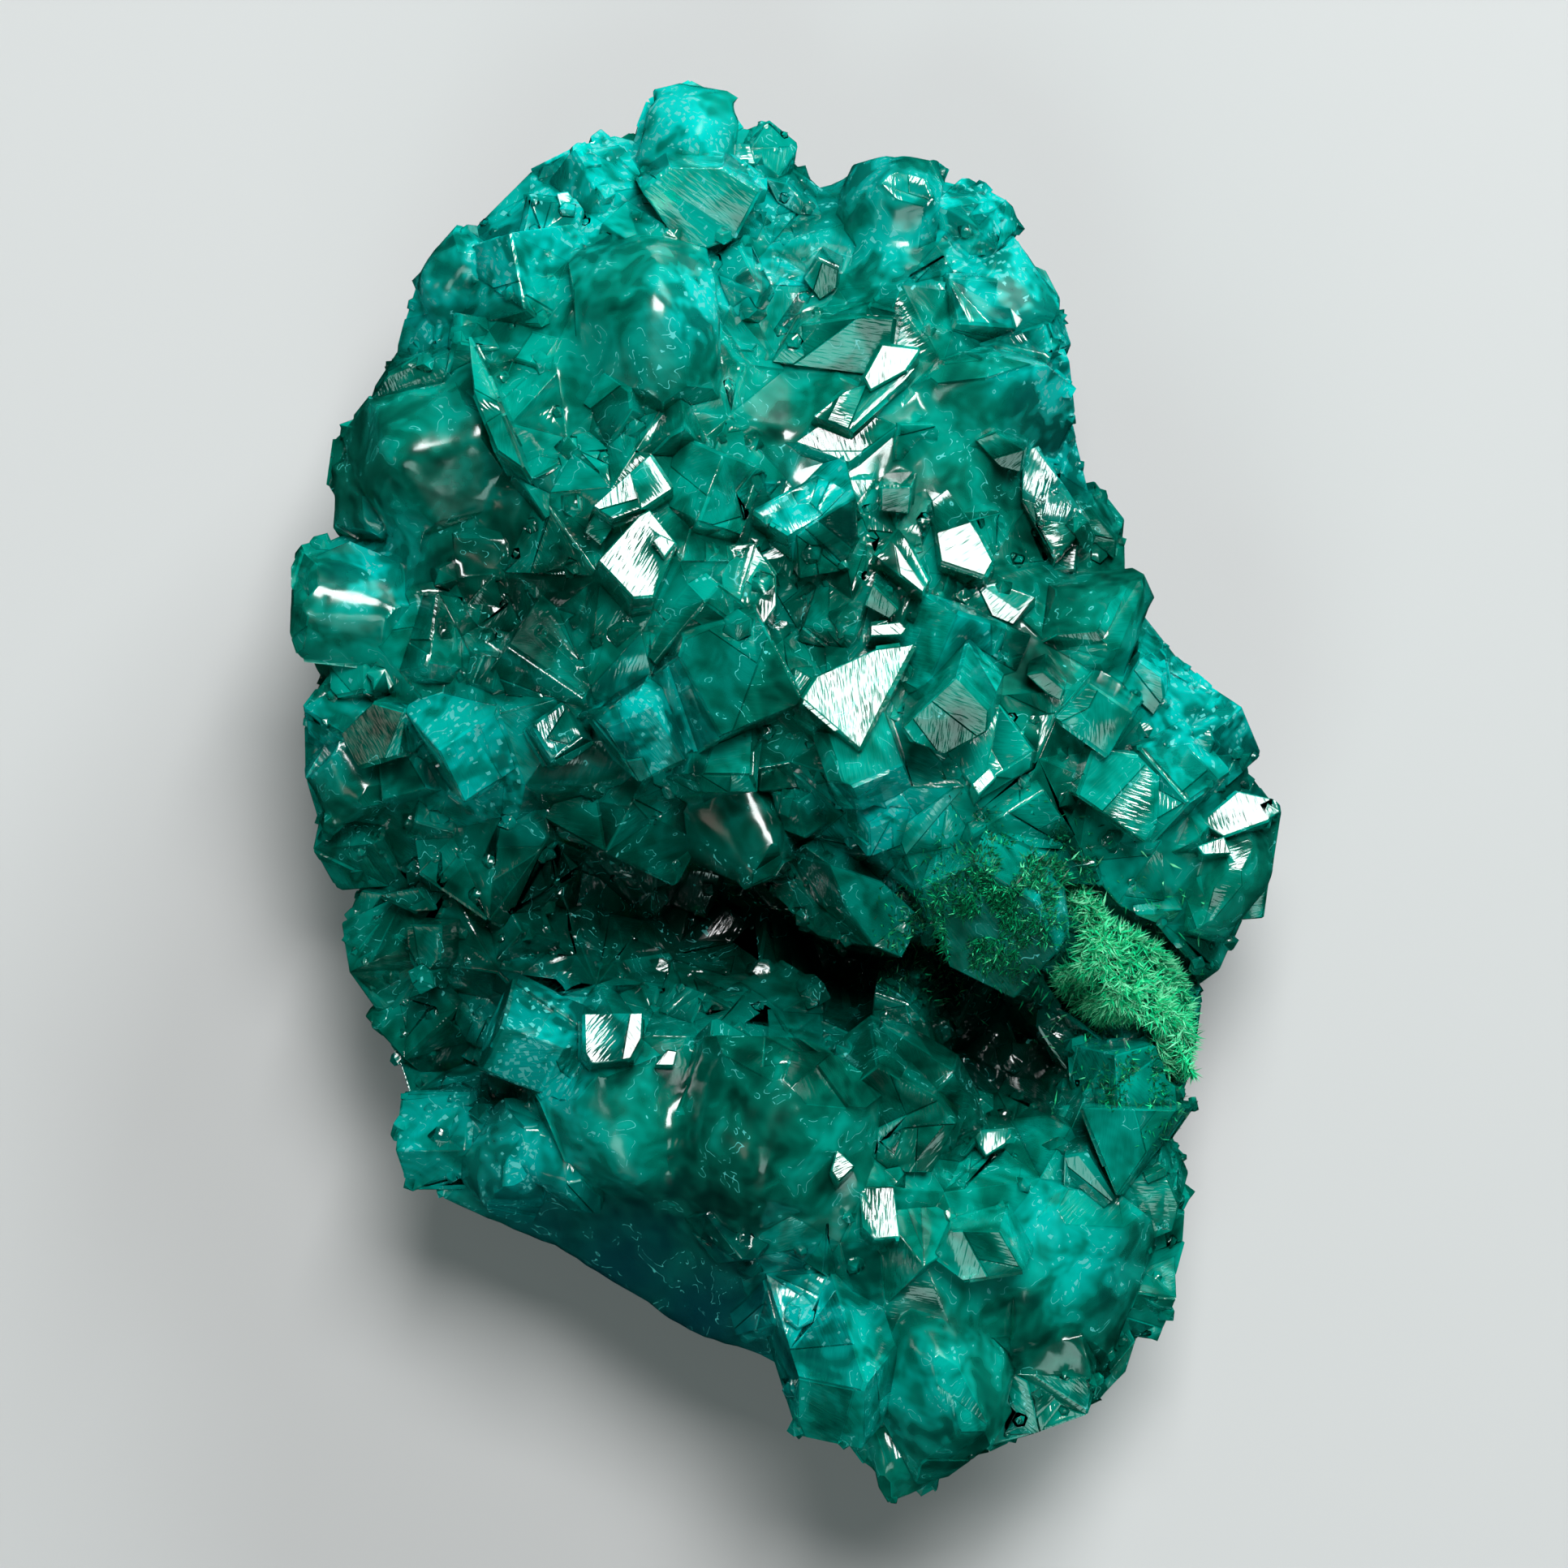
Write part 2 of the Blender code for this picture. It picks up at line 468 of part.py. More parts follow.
def sheet_solid(name, rim, rim_heights, spacings, levels, picks):
    """A solid between a top sheet and a bottom sheet, with a low wall around its rim."""
    shape = bmesh.new()
    upper = [shape.verts.new((p.x, p.y, height + WALL_HALF)) for p, height in zip(rim, rim_heights)]
    lower = [shape.verts.new((p.x, p.y, height - WALL_HALF)) for p, height in zip(rim, rim_heights)]
    add_sheet(shape, rim, upper, spacings[0], picks, levels[0], False)
    add_sheet(shape, rim, lower, spacings[1], picks, levels[1], True)
    for here in range(len(rim)):
        after = (here + 1) % len(rim)
        shape.faces.new((upper[here], lower[here], lower[after], upper[after]))
    bmesh.ops.recalc_face_normals(shape, faces=shape.faces)
    return finish_mesh(shape, name)


def core_mass(outline, picks):
    """The mass that the crystals grow from: a lumpy top, a rim, and a broken back cut off flat."""
    heights = [rim_level(point) for point in outline]
    levels = (lambda point: mass_level(point, outline), lambda point: back_level(point, outline))
    return sheet_solid("dioptase_cluster", outline, heights, CORE_SPACINGS, levels, picks)


def back_level(point, outline):
    """The height of the broken back, a little below the plane that it is cut off at."""
    depth = max(distance_inside(point, outline), 0.0)
    rise = 1.0 - smooth_step(depth / FOOT_INSET)
    return rim_level(point) * rise ** 0.8 - CUT_ALLOWANCE


def add_sheet(shape, rim, rim_verts, spacing, picks, level, flipped):
    """Fills the rim with a sheet of triangles at the heights that level gives."""
    inner = spread_points(rim, spacing, spacing * 0.55, picks)
    count = len(rim)
    ring = [(step, (step + 1) % count) for step in range(count)]
    places, _, faces, *_ = delaunay_2d_cdt(rim + inner, ring, [list(range(count))], 1, 1e-6)
    verts = list(rim_verts)
    for place in places[count:]:
        lump = picks.uniform(-LUMP, LUMP)
        verts.append(shape.verts.new((place.x, place.y, level(place) + lump)))
    for face in faces:
        corners = [verts[index] for index in face]
        shape.faces.new(reversed(corners) if flipped else corners)


def small_crystals(outline, taken, picks):
    """Small crystals that fill the top between the named ones."""
    bare = [from_photo(*corner) for corner in BARE_SLOPE_PIXELS]
    crystals = []
    for number, point in enumerate(spread_points(outline, FILL_SPACING, 0.9, picks)):
        crowded = any((point - place).length < reach for place, reach in taken)
        size = picks.uniform(*FILL_RADIUS)
        lean = direction(picks.uniform(5.0, 60.0), picks.uniform(0.0, 360.0))
        spin = picks.uniform(0.0, math.tau)
        rise = picks.uniform(*FILL_RISE)
        if crowded or distance_inside(point, bare) > -0.3:
            continue
        size = min(size, distance_inside(point, outline) * 0.85)
        crystal = whole_crystal(Vector((point.x, point.y, 0.0)), lean, spin, size, size * 0.9, picks,
                                f"small crystal {number}")
        crystals.append(raise_to(crystal, mass_level(point, outline) + rise))
    return crystals


def walk_outline(outline, spacing):
    """Points along a closed outline at an even spacing, each with its outward direction."""
    left = 0.0
    for start, end in zip(outline, outline[1:] + outline[:1]):
        along = end - start
        outward = Vector((-along.y, along.x)).normalized()
        while left < along.length:
            yield start + along.normalized() * left, outward
            left += spacing
        left -= along.length


def flank_crystals(outline, picks):
    """Crystals around the flank, between the foot and the rim, which stay inside the outline."""
    crystals = []
    for number, (point, outward) in enumerate(walk_outline(outline, FLANK_SPACING)):
        for share_down in FLANK_ROWS:
            size = picks.uniform(*FLANK_RADIUS)
            height = rim_level(point) * (1.0 - share_down) + picks.uniform(-0.5, 0.5)
            inset = size * 0.95 + 0.5 + FOOT_INSET * 0.62 * share_down
            flat = point - outward * inset
            lean = Vector((outward.x, outward.y, picks.uniform(-0.5, 0.5))).normalized()
            place = Vector((flat.x, flat.y, height))
            crystals.append(whole_crystal(place, lean, picks.uniform(0.0, math.tau), size, size * 0.9,
                                          picks, f"flank crystal {number} {share_down}"))
    return crystals


def fuse(body, pieces, operation):
    """Joins pieces to a body, or cuts them from it, in one Boolean, and takes the pieces away."""
    group = bpy.data.collections.new("pieces")
    for piece in pieces:
        group.objects.link(piece)
    step = body.modifiers.new("fuse", "BOOLEAN")
    step.operand_type = "COLLECTION"
    step.collection = group
    step.operation = operation
    step.solver = "EXACT"
    graph = bpy.context.evaluated_depsgraph_get()
    graph.update()
    result = bpy.data.meshes.new_from_object(body.evaluated_get(graph))
    body.modifiers.clear()
    body.data = result
    for piece in pieces:
        bpy.data.objects.remove(piece)
    bpy.data.collections.remove(group)


def keep_largest_shell(shape):
    """Drops splinters, and pockets sealed between crystals."""
    waiting = set(shape.faces)
    islands = []
    while waiting:
        island = [waiting.pop()]
        for face in island:
            for edge in face.edges:
                for other in edge.link_faces:
                    if other in waiting:
                        waiting.remove(other)
                        island.append(other)
        islands.append(island)
    islands.sort(key=len, reverse=True)
    for island in islands[1:]:
        bmesh.ops.delete(shape, geom=island, context="FACES")


def clean_shell(body):
    """Welds splinters, keeps the outer shell, and splits its faces into triangles."""
    shape = bmesh.new()
    shape.from_mesh(body.data)
    keep_largest_shell(shape)
    bmesh.ops.remove_doubles(shape, verts=shape.verts, dist=WELD)
    bmesh.ops.dissolve_degenerate(shape, edges=shape.edges, dist=WELD)
    keep_largest_shell(shape)
    bmesh.ops.triangulate(shape, faces=shape.faces)
    mesh = bpy.data.meshes.new(body.name)
    shape.to_mesh(mesh)
    shape.free()
    body.data = mesh


def crust_solid(outline, picks):
    """The lumpy solid of the needle crust, which reaches its needles' tips."""
    edge = [from_photo(*corner) for corner in CRUST_PIXELS]
    heights = [mass_level(point, outline) - 0.2 for point in edge]
    levels = (
        lambda point: mass_level(point, outline) + CRUST_RISE,
        lambda point: mass_level(point, outline) - CRUST_DEPTH,
    )
    return sheet_solid("needle_crust", edge, heights, CRUST_SPACINGS, levels, picks)


def hollow_around(crust):
    """A cutter a little larger than the crust, open to the camera."""
    shape = bmesh.new()
    shape.from_mesh(crust.data)
    shape.normal_update()
    moves = [vert.normal * NEEDLE_GAP * 1.5 for vert in shape.verts]
    for vert, move in zip(shape.verts, moves):
        vert.co += move
        if move.z > 0.0:
            vert.co.z += HOLLOW_ROOF
    return finish_mesh(shape, "hollow")


def place_on_origin(bodies):
    """Puts the middle of the whole box over the origin and the cut back on z = 0, and scales to metres."""
    corners = [vert.co for body in bodies for vert in body.data.vertices]
    low = [min(corner[axis] for corner in corners) for axis in range(3)]
    high = [max(corner[axis] for corner in corners) for axis in range(3)]
    shift = Vector((-(low[0] + high[0]) / 2.0, -(low[1] + high[1]) / 2.0, -low[2]))
    for body in bodies:
        body.data.transform(Matrix.Diagonal((METRES, METRES, METRES, 1.0)) @ Matrix.Translation(shift))


def material(name, colour, roughness, transmission, ior):
    """A plain material of the part's colour."""
    made = bpy.data.materials.new(name)
    made.use_nodes = True
    shader = made.node_tree.nodes["Principled BSDF"]
    shader.inputs["Base Color"].default_value = (*colour, 1.0)
    shader.inputs["Roughness"].default_value = roughness
    shader.inputs["Transmission Weight"].default_value = transmission
    shader.inputs["IOR"].default_value = ior
    return made


def dioptase_cluster(outline, picks):
    """All the crystals, fused to the mass that they grew from."""
    body = core_mass(outline, picks)
    pieces = []
    taken = []
    for name, (corners, facing, rise) in FLAT_FACES.items():
        pieces.append(face_crystal(name, corners, facing, rise, outline))
        flat = [from_photo(*corner) for corner in corners]
        centre = sum(flat, Vector((0.0, 0.0))) / len(flat)
        reach = sum((corner - centre).length for corner in flat) / len(flat)
        taken.append((centre, reach + 0.3))
    for name, (place, along, across, turn, rise) in ROUNDED.items():
        pieces.append(rounded_crystal(name, place, along, across, turn, rise, outline, picks))
        taken.append((from_photo(*place), 0.8 * min(along, across)))
    for name, (place, along, across, axis, spin, rise) in BLOCKS.items():
        pieces.append(block_crystal(name, place, along, across, axis, spin, rise, outline, picks))
        taken.append((from_photo(*place), 0.7 * across))
    pieces += small_crystals(outline, taken, picks)
    pieces += flank_crystals(outline, picks)
    fuse(body, pieces, "UNION")
    fuse(body, [cutting_block()], "DIFFERENCE")
    return body


def cutting_block():
    """The block that cuts the back off flat at z = 0."""
    shape = bmesh.new()
    bmesh.ops.create_cube(shape, size=80.0)
    bmesh.ops.translate(shape, verts=shape.verts, vec=(0.0, 0.0, -40.0))
    return finish_mesh(shape, "cut")


def main():
    for item in list(bpy.data.objects):
        bpy.data.objects.remove(item)
    picks = random.Random(SEED)
    outline = [from_photo(*corner) for corner in OUTLINE_PIXELS]
    cluster = dioptase_cluster(outline, picks)
    crust = crust_solid(outline, picks)
    fuse(cluster, [hollow_around(crust)], "DIFFERENCE")
    clean_shell(cluster)
    clean_shell(crust)
    place_on_origin([cluster, crust])
    cluster.data.materials.clear()
    cluster.data.materials.append(material("dioptase", (0.0, 0.19, 0.12), 0.12, 0.6, 1.66))
    crust.data.materials.append(material("needle mineral", (0.06, 0.42, 0.17), 0.35, 0.0, 1.6))


main()
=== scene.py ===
"""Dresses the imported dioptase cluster: stepped crystal faces, clear green material, a crust of needles."""

import math
import random

import bmesh
import bpy
import numpy as np
from mathutils import Matrix, Vector, noise
from mathutils.bvhtree import BVHTree

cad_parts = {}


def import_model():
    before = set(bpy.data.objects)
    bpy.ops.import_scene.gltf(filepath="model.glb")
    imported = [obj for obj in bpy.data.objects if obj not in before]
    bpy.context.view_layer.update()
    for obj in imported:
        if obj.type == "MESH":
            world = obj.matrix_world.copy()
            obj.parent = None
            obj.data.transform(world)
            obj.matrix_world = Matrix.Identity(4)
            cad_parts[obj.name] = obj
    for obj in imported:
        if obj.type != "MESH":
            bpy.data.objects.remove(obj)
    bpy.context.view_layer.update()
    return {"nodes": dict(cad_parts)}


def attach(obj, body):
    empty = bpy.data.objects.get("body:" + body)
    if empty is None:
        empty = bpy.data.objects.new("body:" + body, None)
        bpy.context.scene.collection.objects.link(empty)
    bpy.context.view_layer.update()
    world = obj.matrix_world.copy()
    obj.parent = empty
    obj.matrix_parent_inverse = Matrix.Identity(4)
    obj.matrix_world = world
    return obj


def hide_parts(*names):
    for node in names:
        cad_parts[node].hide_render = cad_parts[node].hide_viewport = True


# Sizes are in millimetres, except those of the lights and the floor, which are in metres
MM = 0.001
SEED = 17

# How a pixel of the 1932 pixel photograph falls on the specimen's frame
PHOTO_CENTRE = (967, 965)
PIXEL = 45.0 / 1734.0
FRAME_SHIFT = (-0.037, 0.171)
PHOTO_SIDE = 1932
MID_LEVEL = 7.6
HALF_SPAN = (16.0, 23.0)
ABOVE_ALL = 40.0

# Vertices nearer than these are one vertex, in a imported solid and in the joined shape
NODE_WELD = 0.0002
JOINED_WELD = 0.0005

# Faces that meet at less than the first angle are one flat face. In the smooth places, a face is part of a
# round body where more than this share of its border meets its neighbours at less than the second angle
FLAT_ANGLE = math.radians(1.2)
SOFT_ANGLE = math.radians(42.0)
SOFT_SHARE = 0.42

# Where the smooth bodies are: (x, y) in pixels and reach in millimetres
SMOOTH_PLACES = [
    (849, 163, 1.9), (1094, 268, 2.2), (1243, 374, 1.7), (568, 356, 1.6), (800, 420, 3.1), (553, 585, 3.4),
    (474, 612, 1.9), (450, 752, 2.4), (446, 952, 1.8), (1196, 520, 3.0), (1020, 520, 2.5), (1325, 780, 2.5),
    (900, 1010, 2.0), (1497, 1072, 2.3), (810, 1385, 3.6), (955, 1395, 3.1), (640, 1425, 1.8),
    (706, 1420, 1.6), (1140, 1655, 3.4), (1115, 1773, 1.7), (1300, 1570, 3.0), (640, 1550, 3.0),
    (760, 1580, 3.2), (880, 1640, 2.6),
]

# Smooth bodies are refined to this edge length, smoothed, and given a slight wobble
FINE_EDGE = 0.55
REFINEMENTS = 3
SMOOTHINGS = 7
SMOOTH_PULL = 0.5
WOBBLES = ((0.7, 0.07), (2.2, 0.012))
UNDERSIDE = 0.05

# Each flat face has a narrow border and stands up from it, and the larger ones also have growth steps.
# Faces that look down more than this stay plain, and so do slivers under this many borders wide
EDGE_WIDTH = 0.04
EDGE_LIFT = 0.02
SLIVER = 4.0
DOWNWARD = -0.5
STEP_AREA = 0.7
STEP_LIFTS = (0.02, 0.045, 0.075, 0.11)
STEP_CHANCE = 0.8
SPLIT_SHIFT = 0.3
SPLIT_CLEARANCE = 0.02
SHARP_ANGLE = math.radians(20.0)

# Tiny crystals in the gaps between the big ones, with the measures of one as shares of its radius
CHIP_COUNT = 520
CHIP_RADIUS = (0.16, 0.62)
CHIP_SHRINK = (0.6, 1.0)
CHIP_LOWEST = 4.0
CHIP_DEPTH = (-0.6, 1.4)
CHIP_CLEARANCE = 2.1
CHIP_LEAN = 0.8
CHIP_SUNK = (0.35, 0.8)
CHIP_LENGTH = (0.9, 1.7)
CHIP_FOOT = 0.9
CHIP_SHOULDER = 0.55
CHIP_ZIGZAG = 0.28
CHIP_POINT = 0.62

# The level around each place is the mean over this many grid cells each way. Painted shade starts at this
# depth under it and is full after the span, but only where enough of the cells around lie on the specimen
GRID = 0.5
LEVEL_REACH = 9
SHADE_START = 0.3
SHADE_SPAN = 4.0
RIM_SHARE = (0.45, 0.85)

# The scale of the tone's changes over the round bodies, and how far the streaks are shifted between faces
TONE_SCALE = 0.4
STREAK_SHIFT = 40.0

# The painted light that stands for light coming through fades out down the flanks between these levels
GLOW_LEVELS = (3.0, 7.0)
GLOW_SPAN = GLOW_LEVELS[1] - GLOW_LEVELS[0]

# Where painted light stands for light through the crystals: (x, y) in pixels, reach in millimetres, strength
GLOWS = [
    (731, 187, 2.3, 1.0), (808, 134, 1.4, 1.0), (846, 158, 1.6, 1.0), (690, 262, 2.0, 1.0),
    (910, 241, 1.2, 1.0), (625, 330, 1.6, 0.9), (985, 250, 1.5, 0.6), (1065, 214, 1.3, 0.8),
    (1105, 300, 1.8, 0.5), (1195, 275, 2.1, 1.0), (1232, 322, 1.9, 1.0), (1270, 390, 1.6, 0.8),
    (964, 337, 1.0, 1.0), (862, 383, 1.4, 0.9), (1289, 477, 1.5, 0.9), (1325, 560, 1.3, 0.7),
    (544, 388, 1.4, 0.8),
    (470, 705, 1.3, 0.9), (607, 940, 1.8, 1.0), (545, 880, 1.0, 0.8), (800, 885, 1.4, 1.0),
    (995, 625, 1.1, 0.8), (1085, 1005, 1.4, 1.0), (668, 1275, 2.0, 1.0), (695, 1325, 1.1, 1.0),
    (560, 1390, 1.8, 0.8), (650, 1425, 1.8, 0.8), (1480, 880, 2.1, 1.0), (1430, 830, 1.1, 0.8),
    (1270, 1085, 0.8, 0.7), (995, 1600, 1.8, 0.8), (1290, 1500, 1.2, 0.6), (395, 905, 1.0, 0.8),
    (1180, 790, 1.0, 0.6), (1120, 1700, 2.2, 0.35), (1330, 1550, 1.6, 0.4),
]

# Where painted shade darkens the crystals: (x, y) in pixels, reach in millimetres, strength
PAINTED_SHADE_SPOTS = [
    (735, 1105, 4.2, 0.92), (900, 1130, 4.0, 0.96), (600, 1180, 3.6, 0.82), (560, 1290, 2.6, 0.82),
    (500, 1080, 3.0, 0.72), (610, 1340, 1.3, 0.95), (880, 830, 2.3, 0.62), (650, 760, 3.0, 0.6),
    (1210, 1270, 3.2, 0.85), (1040, 1210, 2.6, 0.88), (1235, 1135, 2.0, 0.7), (1050, 1090, 1.8, 0.6),
    (620, 650, 2.8, 0.55), (1340, 1400, 1.5, 0.55), (800, 500, 2.3, 0.45), (950, 1030, 2.5, 0.65),
    (730, 950, 2.2, 0.6), (440, 1010, 1.6, 0.5), (480, 1200, 2.0, 0.6),
]

# Where painted shade deepens the colour to a dark blue green: (x, y) in pixels, reach in millimetres,
# strength
BLUE_SHADE_SPOTS = [(660, 1520, 2.6, 0.8), (760, 1570, 3.0, 0.95), (860, 1620, 2.6, 0.95), (930, 1680, 2.0, 0.8)]

# The body's colour follows a level, which adds up shares of each face's tone and of clouding in two sizes,
# whose scales are per metre
BROAD_SCALE = 170.0
CLOUD_SCALE = 700.0
TONE_SHARE = 0.2
BROAD_SHARE = 0.75
CLOUD_SHARE = 1.05
LEVEL_START = -0.46

# The colours of the crystals, from deep to bright. The painted glow light is crumbly, because it follows the
# clouding
BODY_STOPS = [
    (0.08, (0.0, 0.020, 0.013)), (0.3, (0.0, 0.095, 0.060)), (0.5, (0.0, 0.28, 0.185)),
    (0.74, (0.0, 0.66, 0.50)),
]
# Painted light: the bright cyan that stands for light coming through the crystals
GLOW_COLOUR = (0.0, 1.0, 0.90)
GLOW_CRUMBS = [(0.44, (0.0, 0.0, 0.0)), (0.56, (1.0, 1.0, 1.0))]
GLOW_BASE = 0.25
# Painted shade: dark green in the hollows and at the dark spots
PAINTED_SHADE_COLOUR = (0.0, 0.02, 0.012)
PAINTED_SHADE_SHARE = 0.9
# Painted shade in a dark blue green
BLUE_SHADE_COLOUR = (0.0, 0.085, 0.115)
# Flecks and crack dots, partly inclusions and partly painted glints
FLECK_AND_GLINT_COLOUR = (0.16, 1.0, 0.94)

# The flecks, partly inclusions inside and partly painted glints, fill cells of a turned grid. They are
# sparse, less so in bright clouding and in the painted glow
CELL_SIZE = 0.13
CELL_SHIFT = 0.9
CELL_TURN = (0.6, 0.4, 0.9)
FLECK_GLINT_LEVEL = 1.11
FLECK_GLINT_GLOW = -0.24
FLECK_GLINT_CLOUD = (0.7, -0.35)

# Hairline cracks follow one level of the clouding, dotted because some cells leave them out
CRACK_LEVEL = 0.58
CRACK_WIDTH = 0.0035
CRACK_CELLS = 0.45

# The surface's finest relief: streaks along a face, stronger on some faces, with scales per millimetre, and
# satin unevenness on round bodies, with a scale per metre
STREAK_SCALE = (1.7, 9.0, 1.0)
STREAK_DEPTH = 0.017
STREAK_LEAST = 0.7
STREAK_VARIETY = 3.3
SATIN_SCALE = 2400.0
SATIN_DEPTH = 0.004

# The crystals are a clear stone. Their absorption is per metre, and flat faces are smoother than round ones
CRYSTAL_IOR = 1.66
CRYSTAL_CLEARNESS = 0.5
ABSORPTION_COLOUR = (0.02, 0.84, 0.70, 1.0)
ABSORPTION_DENSITY = 420.0
ROUND_ROUGHNESS = 0.11
FLAT_SMOOTHER = -0.05
CLOUD_ROUGHNESS = 0.12

# A needle is widest at the first share of its length, and its low point sinks by the second
NEEDLE_MIDDLE = 0.3
NEEDLE_ROOT = 0.1

# The needle crust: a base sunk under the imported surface, and needles in all directions that reach up to it
BASE_DEPTH = 0.42
# The base's dark colour is painted shade down among the needles
BASE_SHADE = 0.1
NEEDLE_COUNT = 15000
NEEDLE_LENGTH = (0.2, 0.6)
NEEDLE_WIDTH = (0.04, 0.09)
NEEDLE_SPREAD = 1.5
NEEDLE_LOWEST = -0.4
NEEDLE_FOOT = 0.95
LEAST_RISE = 0.3
RIM_SLOPE = 0.35
RIM_REACH = 1.9
TOP_REACH = 1.15

# The needles stand in tufts, brighter at their middles, with gaps between them
TUFT_SCALE = 1.5
TUFT_RAGGED = 0.25
GAP_LEVEL = -0.12
TUFT_SHADE = (0.32, 0.75, 0.35)

# Loose needles on the crystals around the crust, which become rare within this reach
STRAY_COUNT = 420
STRAY_REACH = 1.6
STRAY_FADE = 2.6
STRAY_MISS = 0.2
STRAY_SPREAD = 0.7
STRAY_LENGTH = (0.2, 0.55)
STRAY_SHADE = (0.3, 1.0)

# Places with a moss of short needles: (x, y) in pixels, reach in millimetres, needles tried
MOSSES = [
    (1225, 1105, 1.1, 5200), (1160, 1160, 0.9, 2400), (1290, 1070, 0.6, 1300), (1400, 1335, 0.7, 1500),
]
MOSS_SCALE = 1.2
MOSS_GAP = -0.1
MOSS_SPREAD = 1.6
MOSS_SHADE = (0.03, 0.36)
MOSS_BRIGHT = 0.1
MOSS_BRIGHTER = 0.55
MOSS_LENGTH = (0.12, 0.4)
MOSS_WIDTH = (0.03, 0.07)

# The one long needle: where its ends are in pixels, its width, its height over the crystals and its shade
LONE_ENDS = ((1154, 1062), (1197, 1081))
LONE_WIDTH = 0.24
LONE_HEIGHT = 0.12
LONE_SHADE = 0.8

# The colours of the needles, by their shade
NEEDLE_STOPS = [
    (0.05, (0.0, 0.03, 0.015)), (0.4, (0.0, 0.36, 0.13)), (0.72, (0.01, 0.9, 0.36)),
    (1.0, (0.25, 1.0, 0.55)),
]

# The lights: name, tilt off the vertical and bearing in degrees, distance and width in metres, radiance,
# colour, and whether the crystals mirror it
LIGHTS = [
    ("key", 26, 75, 0.42, 0.17, 18.0, (1.0, 1.0, 1.0), True),
    ("fill", 34, 250, 0.42, 0.15, 3.0, (0.7, 1.0, 0.94), True),
    ("warm", 60, 195, 0.42, 0.08, 1.3, (1.0, 0.75, 0.66), True),
    ("upper_rim", 66, 60, 0.45, 0.2, 13.0, (0.9, 1.0, 1.0), False),
    ("lower_rim", 60, 260, 0.45, 0.2, 2.0, (1.0, 1.0, 1.0), False),
]
SURROUND_COLOUR = (0.9, 0.95, 1.0, 1.0)
SURROUND_STRENGTH = 0.06
FLOOR_SIDE = 3.0
FLOOR_COLOUR = (0.56, 0.56, 0.56, 1.0)
LENS = 160.0
SENSOR = 36.0


def from_photo(x, y, height=0.0):
    """The place in millimetres of a pixel of the photograph, seen from straight above."""
    across = (x - PHOTO_CENTRE[0]) * PIXEL + FRAME_SHIFT[0]
    up = (PHOTO_CENTRE[1] - y) * PIXEL + FRAME_SHIFT[1]
    return Vector((across, up, height))


def node_shape(node):
    """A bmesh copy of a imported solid, in millimetres, with its split vertices joined again."""
    shape = bmesh.new()
    shape.from_mesh(node.data)
    bmesh.ops.scale(shape, vec=(1 / MM, 1 / MM, 1 / MM), verts=shape.verts)
    bmesh.ops.remove_doubles(shape, verts=shape.verts, dist=NODE_WELD)
    return shape


def add_object(shape, name):
    """Turns a bmesh into an object of the scene."""
    mesh = bpy.data.meshes.new(name)
    shape.to_mesh(mesh)
    shape.free()
    item = bpy.data.objects.new(name, mesh)
    bpy.context.scene.collection.objects.link(item)
    return item


def drop_on(tree, x, y):
    """The top point of a surface over a place, and its normal, or None twice."""
    hit, normal, _, _ = tree.ray_cast(Vector((x, y, ABOVE_ALL)), Vector((0.0, 0.0, -1.0)))
    return hit, normal


class Surroundings:
    """How deep a place lies between its surroundings, from a grid of the specimen's top heights."""

    def __init__(self, tree):
        columns = int(2 * HALF_SPAN[0] / GRID)
        rows = int(2 * HALF_SPAN[1] / GRID)
        heights = np.zeros((columns, rows))
        known = np.zeros((columns, rows))
        for column in range(columns):
            for row in range(rows):
                hit, _ = drop_on(tree, column * GRID - HALF_SPAN[0], row * GRID - HALF_SPAN[1])
                if hit is not None:
                    heights[column, row] = hit.z
                    known[column, row] = 1.0
        self.share = self.blurred(known)
        self.level = self.blurred(heights) / np.maximum(self.share, 1e-6)

    @staticmethod
    def blurred(grid):
        """The mean over a square around each cell."""
        kernel = np.ones(2 * LEVEL_REACH + 1) / (2 * LEVEL_REACH + 1)
        for axis in (0, 1):
            grid = np.apply_along_axis(np.convolve, axis, grid, kernel, "same")
        return grid

    def cell(self, place):
        """The grid cell of a place."""
        column = min(max(int((place.x + HALF_SPAN[0]) / GRID), 0), self.level.shape[0] - 1)
        row = min(max(int((place.y + HALF_SPAN[1]) / GRID), 0), self.level.shape[1] - 1)
        return column, row

    def depth(self, place):
        """How far a place lies under the mean level around it."""
        return self.level[self.cell(place)] - place.z

    def enclosed(self, place):
        """From 0 at the specimen's rim to 1 where it lies all round a place."""
        low, high = RIM_SHARE
        return min(max((self.share[self.cell(place)] - low) / (high - low), 0.0), 1.0)


def add_chip(shape, place, axis, radius, picks):
    """Adds a stubby six-sided crystal with a three-faced point to a bmesh."""
    spin = picks.uniform(0.0, math.tau)
    turn = axis.to_track_quat("Z", "Y").to_matrix()
    length = radius * picks.uniform(*CHIP_LENGTH)
    rings = []
    for level, flare in ((-length, CHIP_FOOT), (length * CHIP_SHOULDER, 1.0)):
        ring = []
        for side in range(6):
            bearing = spin + math.tau * side / 6
            lift = CHIP_ZIGZAG * radius * (1 if side % 2 else -1) if level > 0 else 0.0
            corner = Vector((math.cos(bearing), math.sin(bearing), 0.0)) * radius * flare
            corner.z = level + lift
            ring.append(shape.verts.new(place + turn @ corner))
        rings.append(ring)
    tip = shape.verts.new(place + turn @ Vector((0.0, 0.0, length * CHIP_SHOULDER + radius * CHIP_POINT)))
    lower, upper = rings
    for side in range(6):
        after = (side + 1) % 6
        shape.faces.new((lower[side], lower[after], upper[after], upper[side]))
    for side in range(1, 6, 2):
        before = (side - 1) % 6
        after = (side + 1) % 6
        shape.faces.new((upper[before], upper[side], upper[after], tip))
    shape.faces.new(list(reversed(lower)))


